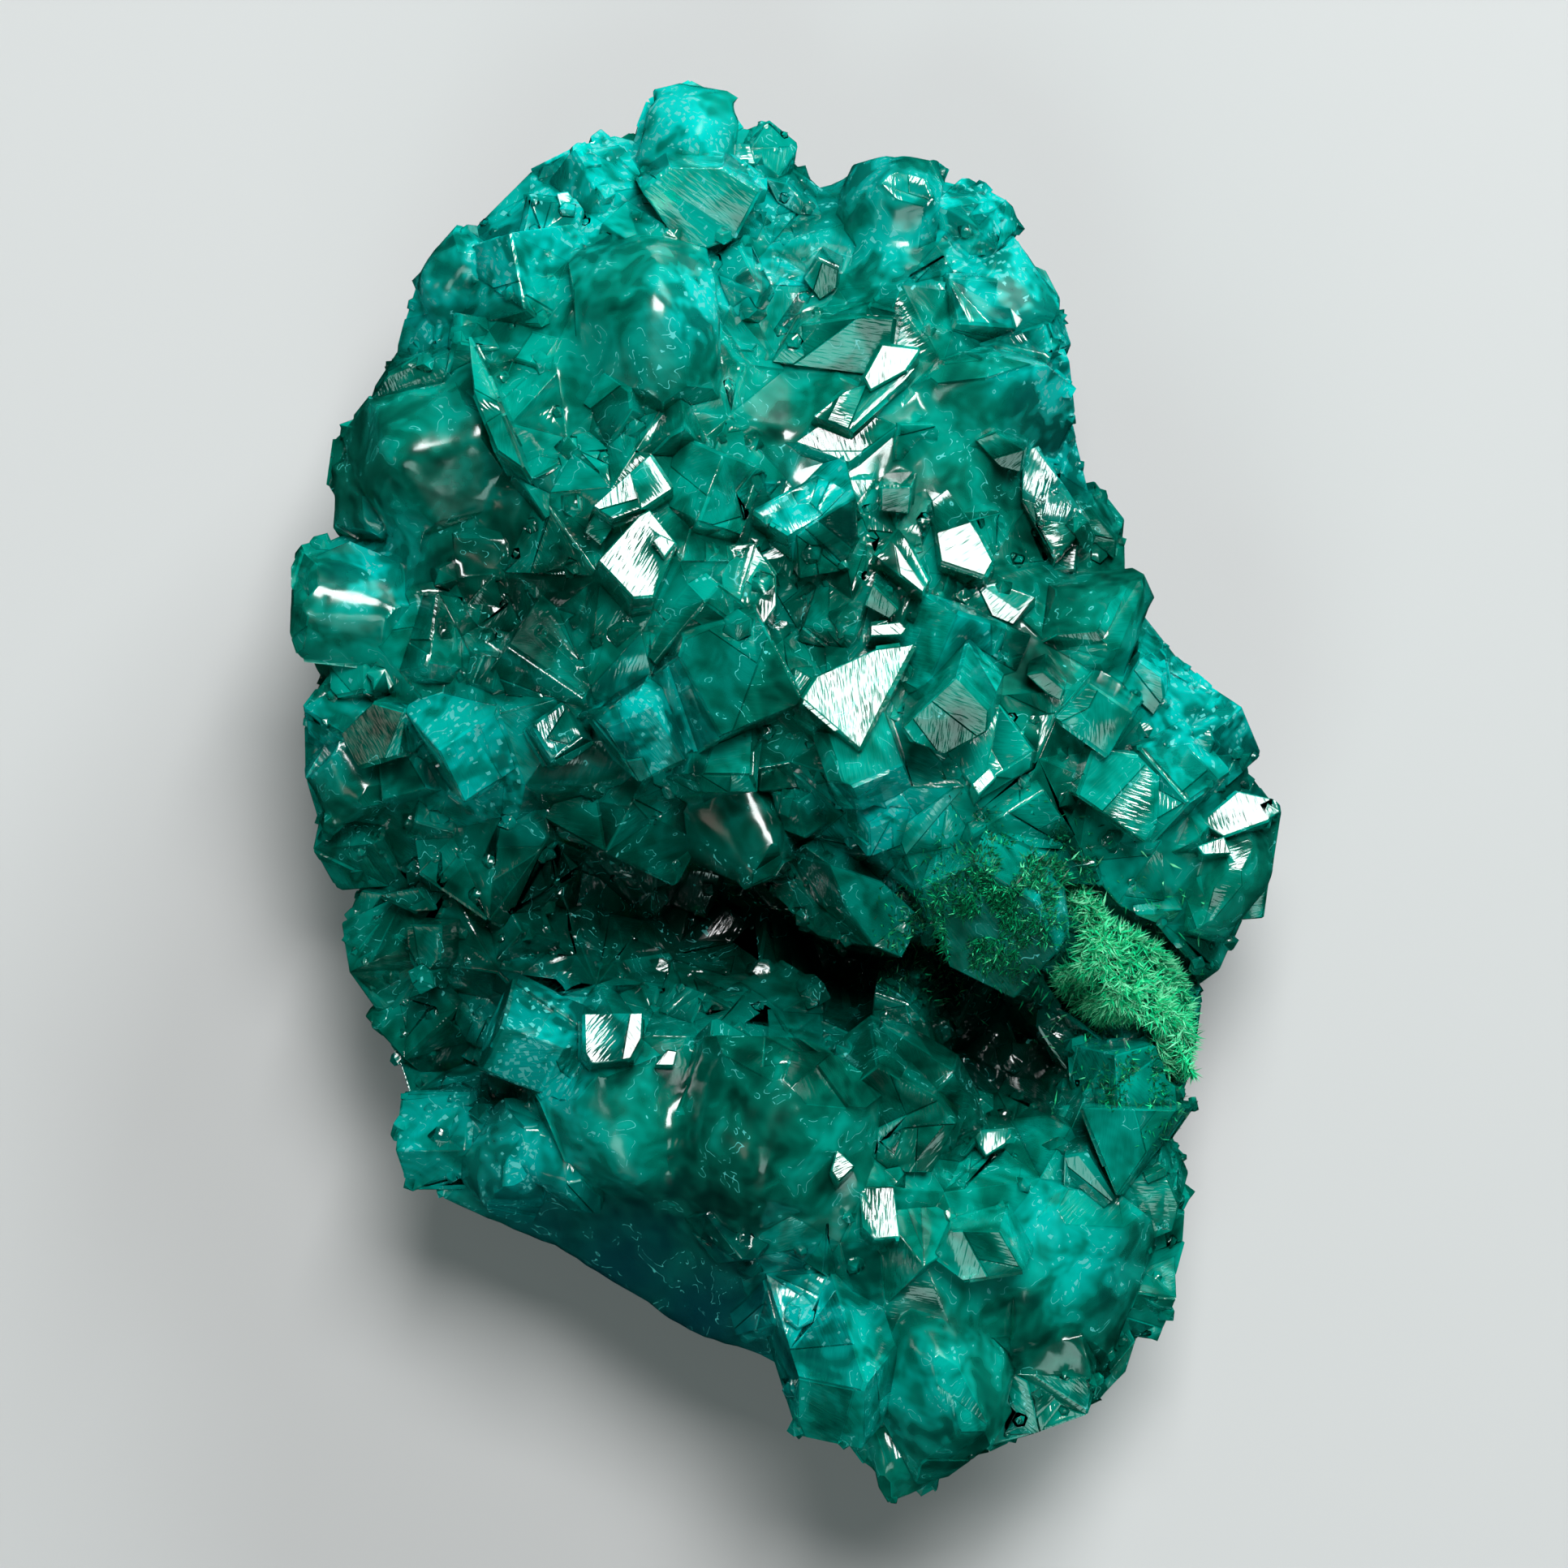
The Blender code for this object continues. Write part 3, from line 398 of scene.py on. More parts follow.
def chips_on(tree, surroundings, picks):
    """An object with many tiny crystals, most of them in the gaps, none on a round body or near another."""
    chips = bmesh.new()
    taken = []
    count = CHIP_COUNT
    while len(taken) < count:
        x = picks.uniform(-1, 1) * HALF_SPAN[0]
        y = picks.uniform(-1, 1) * HALF_SPAN[1]
        hit, normal = drop_on(tree, x, y)
        if hit is None or hit.z < CHIP_LOWEST:
            continue
        if is_smooth_place(hit) or surroundings.depth(hit) < picks.uniform(*CHIP_DEPTH):
            continue
        radius = picks.uniform(*CHIP_RADIUS) * picks.uniform(*CHIP_SHRINK)
        if any((hit - other).length < CHIP_CLEARANCE * (radius + size) for other, size in taken):
            continue
        lean = Vector((picks.uniform(-1, 1), picks.uniform(-1, 1), picks.uniform(-0.2, 1)))
        axis = (normal + lean * CHIP_LEAN).normalized()
        add_chip(chips, hit - axis * radius * picks.uniform(*CHIP_SUNK), axis, radius, picks)
        taken.append((hit, radius))
    return add_object(chips, "chips")


def fuse(body, other):
    """Joins two objects to one solid."""
    union = body.modifiers.new("fuse", "BOOLEAN")
    union.operation = "UNION"
    union.solver = "MANIFOLD"
    union.object = other
    mesh = bpy.data.meshes.new_from_object(body.evaluated_get(bpy.context.evaluated_depsgraph_get()))
    body.modifiers.clear()
    body.data = mesh
    bpy.data.objects.remove(other)
    return body


def is_soft(face):
    """Whether enough of a face's border meets its neighbours at a shallow angle."""
    soft = 0.0
    total = 1e-9
    for edge in face.edges:
        size = edge.calc_length()
        total += size
        if edge.calc_face_angle(math.pi) < SOFT_ANGLE:
            soft += size
    return soft / total > SOFT_SHARE


def split_face(face, picks):
    """Splits a face near its middle along a random line, and returns its pieces."""
    middle = face.calc_center_median()
    across = face.normal.orthogonal().normalized()
    across.rotate(Matrix.Rotation(picks.uniform(0.0, math.tau), 3, face.normal))
    place = middle + across * picks.uniform(-SPLIT_SHIFT, SPLIT_SHIFT) * math.sqrt(face.calc_area())
    crossings = []
    for loop in face.loops:
        start = loop.vert
        end = loop.link_loop_next.vert
        before = (start.co - place).dot(across)
        after = (end.co - place).dot(across)
        if before * after < 0.0 and min(abs(before), abs(after)) > SPLIT_CLEARANCE:
            crossings.append((loop.edge, start, before / (before - after)))
    if len(crossings) != 2:
        return [face]
    corners = [bmesh.utils.edge_split(edge, start, share)[1] for edge, start, share in crossings]
    piece, _ = bmesh.utils.face_split(face, corners[0], corners[1])
    return [face, piece] if piece else [face]


def mean_width(face):
    """A face's area over half its border, which is small for slivers."""
    return face.calc_area() / (0.5 * face.calc_perimeter())


def cut_faces(shape, picks):
    """Gives every flat face its narrow border, and the larger ones growth steps at several levels."""
    mark = shape.faces.layers.int["soft_face"]
    groups = {lift: [] for lift in (EDGE_LIFT,) + STEP_LIFTS}
    for face in shape.faces[:]:
        face[mark] = int(is_smooth_place(face.calc_center_median()) and is_soft(face))
    for face in shape.faces[:]:
        if face[mark] or face.normal.z < DOWNWARD:
            continue
        pieces = [face]
        if face.calc_area() > STEP_AREA and picks.random() < STEP_CHANCE:
            pieces = split_face(face, picks)
            if len(pieces) > 1 and pieces[0].calc_area() > STEP_AREA:
                pieces = pieces[1:] + split_face(pieces[0], picks)
        for piece in pieces:
            lift = picks.choice(STEP_LIFTS) if len(pieces) > 1 else EDGE_LIFT
            if mean_width(piece) > SLIVER * EDGE_WIDTH:
                groups[lift].append(piece)
    for lift, faces in groups.items():
        bmesh.ops.inset_individual(shape, faces=faces, thickness=EDGE_WIDTH, depth=lift,
                                   use_even_offset=False)


def round_bodies(shape):
    """Refines the smooth bodies, rounds their edges off and gives them a slight wobble."""
    mark = shape.faces.layers.int["soft_face"]
    bmesh.ops.triangulate(shape, faces=[face for face in shape.faces if face[mark]])
    for _ in range(REFINEMENTS):
        edges = [edge for edge in shape.edges if edge.calc_length() > FINE_EDGE]
        edges = [edge for edge in edges if edge.link_faces and all(face[mark] for face in edge.link_faces)]
        bmesh.ops.subdivide_edges(shape, edges=edges, cuts=1, use_grid_fill=True)
        loose = [face for face in shape.faces if face[mark] and len(face.verts) > 3]
        bmesh.ops.triangulate(shape, faces=loose)
    inner = [vert for vert in shape.verts if all(face[mark] for face in vert.link_faces)]
    inner = [vert for vert in inner if vert.co.z > UNDERSIDE]
    for _ in range(SMOOTHINGS):
        bmesh.ops.smooth_vert(shape, verts=inner, factor=SMOOTH_PULL, use_axis_x=True, use_axis_y=True,
                              use_axis_z=True)
    shape.normal_update()
    for vert in inner:
        for scale, height in WOBBLES:
            vert.co += vert.normal * noise.noise(vert.co * scale) * height


def drop_flaps(shape):
    """Removes pairs of faces that lie back to back on the same corners."""
    first = {}
    flaps = []
    for face in shape.faces:
        corners = frozenset(face.verts)
        if corners in first:
            flaps += [face, first[corners]]
        first[corners] = face
    bmesh.ops.delete(shape, geom=flaps, context="FACES")


def strength_at(place, spots):
    """The strongest of several round spots at a place, each fading out from its middle."""
    strongest = 0.0
    for x, y, reach, strength in spots:
        away = (place.xy - from_photo(x, y).xy).length / reach
        strongest = max(strongest, strength * math.exp(-away * away))
    return strongest


def is_smooth_place(place):
    """Whether a place belongs to one of the smooth bodies."""
    return any((place.xy - from_photo(x, y).xy).length < reach for x, y, reach in SMOOTH_PLACES)


def flat_patch(start, seen):
    """The faces that lie in one plane with a face and join it, which are then all seen."""
    seen.add(start)
    patch = [start]
    for face in patch:
        for edge in face.edges:
            for other in edge.link_faces:
                if other not in seen and other.normal.angle(start.normal, math.pi) < FLAT_ANGLE:
                    seen.add(other)
                    patch.append(other)
    return patch


def mark_faces(shape, surroundings, picks):
    """Stores each face's tone, flatness, painted glow light, painted shade and painted blue shade, and a
    flat map along its streaks.
    """
    grain = shape.loops.layers.uv.new("grain")
    tone = shape.faces.layers.float.new("tone")
    flat = shape.faces.layers.float.new("flat")
    glow = shape.faces.layers.float.new("glow")
    shade = shape.faces.layers.float.new("shade")
    blue = shape.faces.layers.float.new("blue")
    mark = shape.faces.layers.int["soft_face"]
    seen = set()
    for start in shape.faces:
        if start in seen:
            continue
        patch = flat_patch(start, seen)
        along = start.normal.orthogonal().normalized()
        along.rotate(Matrix.Rotation(picks.uniform(0.0, math.tau), 3, start.normal))
        across = start.normal.cross(along)
        shift = picks.uniform(0.0, STREAK_SHIFT)
        value = picks.random()
        for face in patch:
            middle = face.calc_center_median()
            face[flat] = 1.0 - face[mark]
            face[tone] = 0.5 + 0.5 * noise.noise(middle * TONE_SCALE) if face[mark] else value
            # Painted light: the glow of light coming through, fading out down the flanks
            risen = min(max((middle.z - GLOW_LEVELS[0]) / GLOW_SPAN, 0.0), 1.0)
            face[glow] = strength_at(middle, GLOWS) * risen
            # Painted shade: deep under the level around, and at the listed dark spots
            deep = min(max((surroundings.depth(middle) - SHADE_START) / SHADE_SPAN, 0.0), 1.0)
            face[shade] = max(deep * surroundings.enclosed(middle), strength_at(middle, PAINTED_SHADE_SPOTS))
            # Painted shade in a dark blue green
            face[blue] = strength_at(middle, BLUE_SHADE_SPOTS)
            for loop in face.loops:
                loop[grain].uv = (loop.vert.co.dot(along) + shift, loop.vert.co.dot(across))


def crystal_piece(node):
    """The visible cluster, with tiny crystals, steps, borders and round bodies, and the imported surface."""
    picks = random.Random(SEED)
    shape = node_shape(node)
    tree = BVHTree.FromBMesh(shape)
    surroundings = Surroundings(tree)
    chips = chips_on(tree, surroundings, picks)
    body = fuse(add_object(shape, "dioptase_crystals"), chips)
    shape = bmesh.new()
    shape.from_mesh(body.data)
    bmesh.ops.remove_doubles(shape, verts=shape.verts, dist=JOINED_WELD)
    bmesh.ops.dissolve_limit(shape, angle_limit=FLAT_ANGLE, verts=shape.verts, edges=shape.edges)
    shape.faces.layers.int.new("soft_face")
    shape.normal_update()
    cut_faces(shape, picks)
    round_bodies(shape)
    drop_flaps(shape)
    shape.normal_update()
    mark_faces(shape, surroundings, picks)
    bmesh.ops.scale(shape, vec=(MM, MM, MM), verts=shape.verts)
    mesh = bpy.data.meshes.new("dioptase_crystals")
    shape.to_mesh(mesh)
    shape.free()
    for polygon in mesh.polygons:
        polygon.use_smooth = True
    mesh.set_sharp_from_angle(angle=SHARP_ANGLE)
    body.data = mesh
    return body, tree


def add_needle(shape, colour, root, way, length, width, shade):
    """Adds one thin three-sided needle with a point at each end to a bmesh."""
    side = way.orthogonal().normalized()
    other = way.cross(side)
    middle = root + way * length * NEEDLE_MIDDLE
    ring = []
    for corner in range(3):
        bearing = math.tau * corner / 3
        out = side * math.cos(bearing) + other * math.sin(bearing)
        ring.append(shape.verts.new(middle + out * width / 2))
    low = shape.verts.new(root - way * length * NEEDLE_ROOT)
    tip = shape.verts.new(root + way * length)
    for corner in range(3):
        after = (corner + 1) % 3
        for points in ((ring[corner], ring[after], tip), (ring[after], ring[corner], low)):
            face = shape.faces.new(points)
            for loop in face.loops:
                loop[colour] = (shade, shade, shade, 1.0)


def random_way(normal, spread, picks):
    """A direction around a normal, which it may leave further the larger the spread is."""
    lean = Vector((picks.gauss(0, 1), picks.gauss(0, 1), picks.gauss(0, 1)))
    return (normal + lean * spread).normalized()


def add_mat(shape, colour, outer, picks):
    """Adds the sunken base and the dense needles on it."""
    bmesh.ops.triangulate(outer, faces=outer.faces[:])
    outer.normal_update()
    outer.faces.ensure_lookup_table()
    areas = np.cumsum([face.calc_area() for face in outer.faces])
    copies = {vert: shape.verts.new(vert.co - vert.normal * BASE_DEPTH) for vert in outer.verts}
    for face in outer.faces:
        base = shape.faces.new([copies[vert] for vert in face.verts])
        for loop in base.loops:
            loop[colour] = (BASE_SHADE, BASE_SHADE, BASE_SHADE, 1.0)
    for _ in range(NEEDLE_COUNT):
        face = outer.faces[int(np.searchsorted(areas, picks.random() * areas[-1]))]
        a, b, c = [vert.co for vert in face.verts]
        u = math.sqrt(picks.random())
        v = picks.random()
        place = a * (1 - u) + b * (u * (1 - v)) + c * (u * v)
        tuft = noise.noise(place * TUFT_SCALE)
        if face.normal.z < NEEDLE_LOWEST or tuft + TUFT_RAGGED * picks.random() < GAP_LEVEL:
            continue
        way = random_way(face.normal, NEEDLE_SPREAD, picks)
        rise = max(abs(way.dot(face.normal)), LEAST_RISE)
        limit = BASE_DEPTH * (RIM_REACH if face.normal.z < RIM_SLOPE else TOP_REACH) / rise
        length = min(picks.uniform(*NEEDLE_LENGTH), limit)
        root = place - face.normal * BASE_DEPTH * NEEDLE_FOOT
        shade = TUFT_SHADE[0] + TUFT_SHADE[1] * picks.random() + TUFT_SHADE[2] * tuft
        add_needle(shape, colour, root, way, length, picks.uniform(*NEEDLE_WIDTH), shade)


def add_strays(shape, colour, tree, outer, picks):
    """Adds loose needles that lie on the crystals around the crust."""
    rim = [vert.co.copy() for vert in outer.verts]
    low = Vector([min(place[axis] for place in rim) for axis in range(3)])
    high = Vector([max(place[axis] for place in rim) for axis in range(3)])
    made = 0
    while made < STRAY_COUNT:
        x = picks.uniform(low.x - STRAY_REACH, high.x + STRAY_REACH)
        y = picks.uniform(low.y - STRAY_REACH, high.y + STRAY_REACH)
        hit, normal = drop_on(tree, x, y)
        if hit is None:
            continue
        away = min((place - hit).length for place in rim)
        if picks.random() > math.exp(-STRAY_FADE * away / STRAY_REACH):
            made += STRAY_MISS
            continue
        way = random_way(normal, STRAY_SPREAD, picks)
        length = picks.uniform(*STRAY_LENGTH)
        width = picks.uniform(*NEEDLE_WIDTH)
        add_needle(shape, colour, hit, way, length, width, picks.uniform(*STRAY_SHADE))
        made += 1


def add_mosses(shape, colour, tree, picks):
    """Adds short needles in the mossy places on the crystals beside the crust."""
    for x, y, reach, count in MOSSES:
        middle = from_photo(x, y)
        for _ in range(count):
            hit, normal = drop_on(tree, picks.gauss(middle.x, reach), picks.gauss(middle.y, reach))
            if hit is None or noise.noise(hit * MOSS_SCALE) < MOSS_GAP:
                continue
            way = random_way(normal, MOSS_SPREAD, picks)
            shade = picks.uniform(*MOSS_SHADE) + (MOSS_BRIGHTER if picks.random() < MOSS_BRIGHT else 0.0)
            length = picks.uniform(*MOSS_LENGTH)
            add_needle(shape, colour, hit, way, length, picks.uniform(*MOSS_WIDTH), shade)


def add_lone_needle(shape, colour, tree):
    """Adds the one long needle that lies by itself over the hollow's edge."""
    ends = []
    for x, y in LONE_ENDS:
        flat = from_photo(x, y)
        hit, _ = drop_on(tree, flat.x, flat.y)
        ends.append(hit + Vector((0.0, 0.0, LONE_HEIGHT)))
    way = ends[1] - ends[0]
    add_needle(shape, colour, ends[0], way.normalized(), way.length, LONE_WIDTH, LONE_SHADE)


def needle_piece(node, tree):
    """The crust: a sunken base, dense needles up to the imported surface, loose ones, mosses, a long one."""
    picks = random.Random(SEED + 1)
    outer = node_shape(node)
    shape = bmesh.new()
    colour = shape.loops.layers.float_color.new("shade")
    outer.normal_update()
    add_mat(shape, colour, outer, picks)
    add_strays(shape, colour, tree, outer, picks)
    add_mosses(shape, colour, tree, picks)
    add_lone_needle(shape, colour, tree)
    outer.free()
    bmesh.ops.recalc_face_normals(shape, faces=shape.faces)
    bmesh.ops.scale(shape, vec=(MM, MM, MM), verts=shape.verts)
    return add_object(shape, "needle_mat")


def new_material(name):
    """An empty material with a Principled shader, as (material, nodes, links, shader, output)."""
    made = bpy.data.materials.new(name)
    made.use_nodes = True
    nodes = made.node_tree.nodes
    links = made.node_tree.links
    nodes.clear()
    output = nodes.new("ShaderNodeOutputMaterial")
    shader = nodes.new("ShaderNodeBsdfPrincipled")
    links.new(shader.outputs[0], output.inputs["Surface"])
    return made, nodes, links, shader, output


def ramp(nodes, links, source, stops):
    """The colour that a ramp with stops of (place, colour) gives for a source."""
    node = nodes.new("ShaderNodeValToRGB")
    elements = node.color_ramp.elements
    while len(elements) > 1:
        elements.remove(elements[-1])
    elements[0].position = stops[0][0]
    elements[0].color = (*stops[0][1], 1.0)
    for place, colour in stops[1:]:
        element = elements.new(place)
        element.color = (*colour, 1.0)
    links.new(source, node.inputs[0])
    return node.outputs[0]


def noise_node(nodes, links, coordinates, scale, detail=0.0, roughness=0.5, distortion=0.0):
    """A noise texture at coordinates."""
    node = nodes.new("ShaderNodeTexNoise")
    node.inputs["Scale"].default_value = scale
    node.inputs["Detail"].default_value = detail
    node.inputs["Roughness"].default_value = roughness
    node.inputs["Distortion"].default_value = distortion
    links.new(coordinates, node.inputs["Vector"])
    return node


def math_value(nodes, links, operation, *sources, clamp=False):
    """A Math node's value. Each source is a socket or a number."""
    node = nodes.new("ShaderNodeMath")
    node.operation = operation
    node.use_clamp = clamp
    for socket, source in zip(node.inputs, sources):
        if isinstance(source, (int, float)):
            socket.default_value = source
        else:
            links.new(source, socket)
    return node.outputs[0]


def vector_value(nodes, links, operation, source, factors):
    """A Vector Math node's vector from a socket and three numbers."""
    node = nodes.new("ShaderNodeVectorMath")
    node.operation = operation
    links.new(source, node.inputs[0])
    node.inputs[1].default_value = factors
    return node.outputs[0]


def face_value(nodes, name):
    """A value stored on the faces."""
    node = nodes.new("ShaderNodeAttribute")
    node.attribute_name = name
    return node.outputs["Fac"]


def mixed(nodes, links, kind, share, first, second):
    """Two colours mixed. Each may be a socket or a colour."""
    node = nodes.new("ShaderNodeMix")
    node.data_type = "RGBA"
    node.blend_type = kind
    for socket, source in ((node.inputs[0], share), (node.inputs[6], first), (node.inputs[7], second)):
        if isinstance(source, (int, float)):
            socket.default_value = source
        elif isinstance(source, tuple):
            socket.default_value = (*source, 1.0)
        else:
            links.new(source, socket)
    return node.outputs[2]


def bumped(nodes, links, height):
    """A normal bumped by a height in millimetres."""
    node = nodes.new("ShaderNodeBump")
    node.inputs["Strength"].default_value = 1.0
    node.inputs["Distance"].default_value = MM
    links.new(height, node.inputs["Height"])
    return node.outputs[0]


def cell_value(nodes, links, place, offsets):
    """A random value for each small angular cell, in a turned grid that offsets make uneven."""
    turned = nodes.new("ShaderNodeVectorRotate")
    turned.rotation_type = "EULER_XYZ"
    turned.inputs["Rotation"].default_value = CELL_TURN
    links.new(place, turned.inputs["Vector"])
    shifted = nodes.new("ShaderNodeVectorMath")
    shifted.operation = "ADD"
    links.new(turned.outputs[0], shifted.inputs[0])
    links.new(vector_value(nodes, links, "MULTIPLY", offsets, (CELL_SHIFT * MM,) * 3), shifted.inputs[1])
    corner = vector_value(nodes, links, "SNAP", shifted.outputs[0], (CELL_SIZE * MM,) * 3)
    cells = nodes.new("ShaderNodeTexWhiteNoise")
    links.new(corner, cells.inputs["Vector"])
    return cells.outputs["Value"]


def flecks_and_glints(nodes, links, cloud, speck, glow):
    """Where there is a fleck or a dot of a crack inside, partly inclusions and partly painted glints, by the
    clouding, the cells and the glow.
    """
    sparse = math_value(nodes, links, "MULTIPLY_ADD", glow, FLECK_GLINT_GLOW, FLECK_GLINT_LEVEL)
    clustered = math_value(nodes, links, "MULTIPLY_ADD", cloud, *FLECK_GLINT_CLOUD)
    chance = math_value(nodes, links, "ADD", speck, clustered)
    bright = math_value(nodes, links, "GREATER_THAN", chance, sparse)
    line = math_value(nodes, links, "COMPARE", cloud, CRACK_LEVEL, CRACK_WIDTH)
    dots = math_value(nodes, links, "GREATER_THAN", speck, CRACK_CELLS)
    crack = math_value(nodes, links, "MULTIPLY", line, dots)
    return math_value(nodes, links, "MAXIMUM", bright, crack)


def crystal_colour(nodes, links, place):
    """Cloudy emerald to teal, painted light as bright cyan crumbs in the glow, painted shade as dark green
    in the gaps and as blue green, flecks that are partly painted glints. Also the clouding.
    """
    tone = face_value(nodes, "tone")
    glow = face_value(nodes, "glow")
    broad = noise_node(nodes, links, place, BROAD_SCALE, 1.0, 0.55).outputs["Fac"]
    clouding = noise_node(nodes, links, place, CLOUD_SCALE, 2.0, 0.72, 0.35)
    cloud = clouding.outputs["Fac"]
    speck = cell_value(nodes, links, place, clouding.outputs["Color"])
    level = math_value(nodes, links, "MULTIPLY_ADD", tone, TONE_SHARE, LEVEL_START)
    level = math_value(nodes, links, "MULTIPLY_ADD", broad, BROAD_SHARE, level)
    level = math_value(nodes, links, "MULTIPLY_ADD", cloud, CLOUD_SHARE, level)
    body = ramp(nodes, links, level, BODY_STOPS)
    # Painted light: bright cyan crumbs where light comes through
    crumbly = math_value(nodes, links, "ADD", ramp(nodes, links, cloud, GLOW_CRUMBS), GLOW_BASE)
    lit = math_value(nodes, links, "MULTIPLY", glow, crumbly, clamp=True)
    body = mixed(nodes, links, "MIX", lit, body, GLOW_COLOUR)
    # Painted shade: dark green in the hollows and at the dark spots
    dark = math_value(nodes, links, "MULTIPLY", face_value(nodes, "shade"), PAINTED_SHADE_SHARE)
    body = mixed(nodes, links, "MIX", dark, body, PAINTED_SHADE_COLOUR)
    # Painted shade: dark blue green
    body = mixed(nodes, links, "MIX", face_value(nodes, "blue"), body, BLUE_SHADE_COLOUR)
    # Flecks and crack dots, partly inclusions and partly painted glints
    return mixed(nodes, links, "MIX", flecks_and_glints(nodes, links, cloud, speck, glow), body, FLECK_AND_GLINT_COLOUR), cloud


def crystal_height(nodes, links, place):
    """Fine streaks along each flat face, and a satin unevenness on the round bodies, from one noise."""
    flat = face_value(nodes, "flat")
    grain = nodes.new("ShaderNodeUVMap")
    grain.uv_map = "grain"
    streaks = vector_value(nodes, links, "MULTIPLY", grain.outputs[0], STREAK_SCALE)
    satin = vector_value(nodes, links, "MULTIPLY", place, (SATIN_SCALE,) * 3)
    uneven = noise_node(nodes, links, mixed(nodes, links, "MIX", flat, satin, streaks), 1.0, 1.0, 0.65)
    varied = math_value(nodes, links, "MULTIPLY", face_value(nodes, "tone"), STREAK_VARIETY)
    streaked = math_value(nodes, links, "PINGPONG", varied, 1.0)
    streaked = math_value(nodes, links, "MULTIPLY_ADD", streaked, STREAK_DEPTH, STREAK_DEPTH * STREAK_LEAST)
    streaked = math_value(nodes, links, "MULTIPLY", streaked, flat)
    depth = math_value(nodes, links, "MAXIMUM", streaked, SATIN_DEPTH)
    return math_value(nodes, links, "MULTIPLY", uneven.outputs["Fac"], depth)


def crystal_material():
    """Clear emerald to teal crystal, cloudy and flecked inside, with painted light, painted shade and partly
    painted glints in its colour, finely uneven on its faces.
    """
    made, nodes, links, shader, output = new_material("dioptase_glass")
    place = nodes.new("ShaderNodeTexCoord").outputs["Object"]
    colour, cloud = crystal_colour(nodes, links, place)
    links.new(colour, shader.inputs["Base Color"])

    flat = face_value(nodes, "flat")
    gloss = math_value(nodes, links, "MULTIPLY_ADD", flat, FLAT_SMOOTHER, ROUND_ROUGHNESS)
    gloss = math_value(nodes, links, "MULTIPLY_ADD", cloud, CLOUD_ROUGHNESS, gloss)
    links.new(gloss, shader.inputs["Roughness"])
    shader.inputs["Transmission Weight"].default_value = CRYSTAL_CLEARNESS
    shader.inputs["IOR"].default_value = CRYSTAL_IOR
    links.new(bumped(nodes, links, crystal_height(nodes, links, place)), shader.inputs["Normal"])

    volume = nodes.new("ShaderNodeVolumeAbsorption")
    volume.inputs["Color"].default_value = ABSORPTION_COLOUR
    volume.inputs["Density"].default_value = ABSORPTION_DENSITY
    links.new(volume.outputs[0], output.inputs["Volume"])
    return made


def needle_material():
    """Silky pale green needles, with painted shade darker down in the mat."""
    made, nodes, links, shader, _ = new_material("green_needles")
    shade = nodes.new("ShaderNodeVertexColor")
    shade.layer_name = "shade"
    tint = ramp(nodes, links, shade.outputs["Color"], NEEDLE_STOPS)
    links.new(tint, shader.inputs["Base Color"])
    shader.inputs["Roughness"].default_value = 0.4
    shader.inputs["Specular IOR Level"].default_value = 0.3
    shader.inputs["IOR"].default_value = 1.6
    return made


def floor_piece():
    """The plain pale floor."""
    bpy.ops.mesh.primitive_plane_add(size=FLOOR_SIDE, location=(0.0, 0.0, 0.0))
    floor = bpy.context.object
    floor.name = "floor"
    made, _, _, shader, _ = new_material("pale_floor")
    shader.inputs["Base Color"].default_value = FLOOR_COLOUR
    shader.inputs["Roughness"].default_value = 0.9
    floor.data.materials.append(made)
    floor.visible_glossy = False


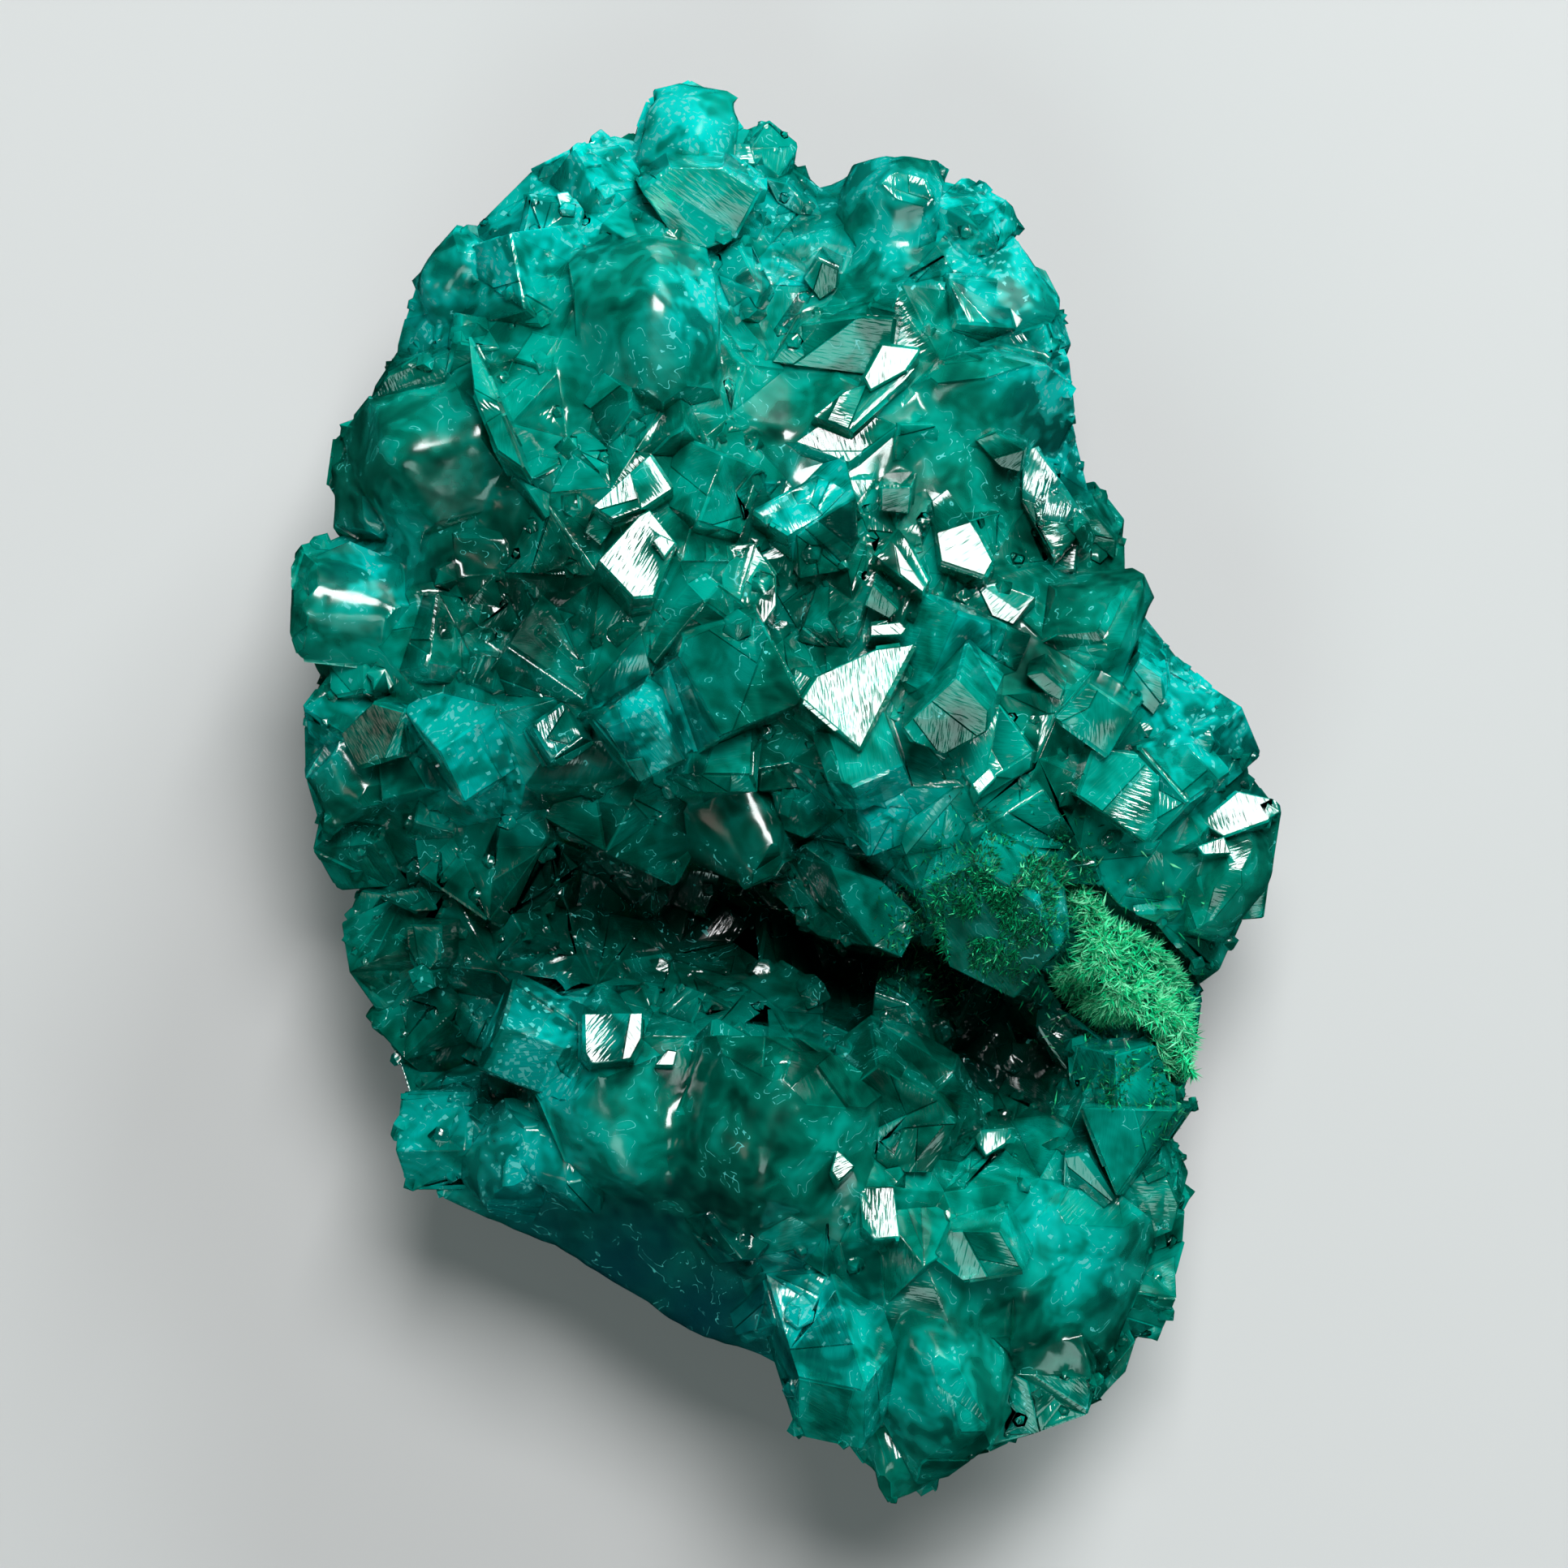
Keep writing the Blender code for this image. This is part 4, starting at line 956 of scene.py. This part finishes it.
def add_light(name, tilt, bearing, distance, width, radiance, colour, mirrored):
    """A square soft light aimed at the specimen."""
    tilt = math.radians(tilt)
    bearing = math.radians(bearing)
    outward = Vector((math.cos(bearing), math.sin(bearing), 0.0))
    way = outward * math.sin(tilt) + Vector((0.0, 0.0, math.cos(tilt)))
    data = bpy.data.lights.new(name, "AREA")
    data.size = width
    data.energy = radiance * math.pi * width * width
    data.color = colour
    item = bpy.data.objects.new(name, data)
    bpy.context.scene.collection.objects.link(item)
    item.visible_glossy = mirrored
    item.location = Vector((0.0, 0.0, MID_LEVEL * MM)) + way * distance
    item.rotation_euler = way.to_track_quat("Z", "Y").to_euler()


def light_scene():
    """A bright soft light up and to the right, dim ones below and at the left, low ones along the rims."""
    for light in LIGHTS:
        add_light(*light)
    world = bpy.data.worlds.new("studio")
    bpy.context.scene.world = world
    world.use_nodes = True
    surround = world.node_tree.nodes["Background"]
    surround.inputs["Color"].default_value = SURROUND_COLOUR
    surround.inputs["Strength"].default_value = SURROUND_STRENGTH
    world.cycles_visibility.glossy = False


def add_camera():
    """Looks straight down, framed as the photograph is."""
    data = bpy.data.cameras.new("camera")
    data.lens = LENS
    data.sensor_width = SENSOR
    item = bpy.data.objects.new("camera", data)
    bpy.context.scene.collection.objects.link(item)
    centre = from_photo(PHOTO_SIDE / 2, PHOTO_SIDE / 2, MID_LEVEL) * MM
    distance = PHOTO_SIDE * PIXEL * MM * LENS / SENSOR
    item.location = centre + Vector((0.0, 0.0, distance))
    bpy.context.scene.camera = item


def set_bounces():
    """Enough bounces for light through clear crystal, and no more."""
    cycles = bpy.context.scene.cycles
    cycles.max_bounces = 4
    cycles.transmission_bounces = 4
    cycles.diffuse_bounces = 1
    cycles.glossy_bounces = 2
    cycles.caustics_reflective = False
    cycles.caustics_refractive = False
    cycles.use_light_tree = False


def dress(piece, node_name, finish):
    """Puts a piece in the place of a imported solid, with its finish."""
    piece.data.materials.clear()
    piece.data.materials.append(finish)
    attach(piece, "root")
    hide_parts(node_name)


def main():
    """Builds the dressed specimen, its stage, lights and camera."""
    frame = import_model()
    crystals, tree = crystal_piece(frame["nodes"]["dioptase_cluster"])
    dress(crystals, "dioptase_cluster", crystal_material())
    needles = needle_piece(frame["nodes"]["needle_crust"], tree)
    dress(needles, "needle_crust", needle_material())
    floor_piece()
    light_scene()
    add_camera()
    set_bounces()
    bpy.context.scene.view_settings.view_transform = "Standard"


main()
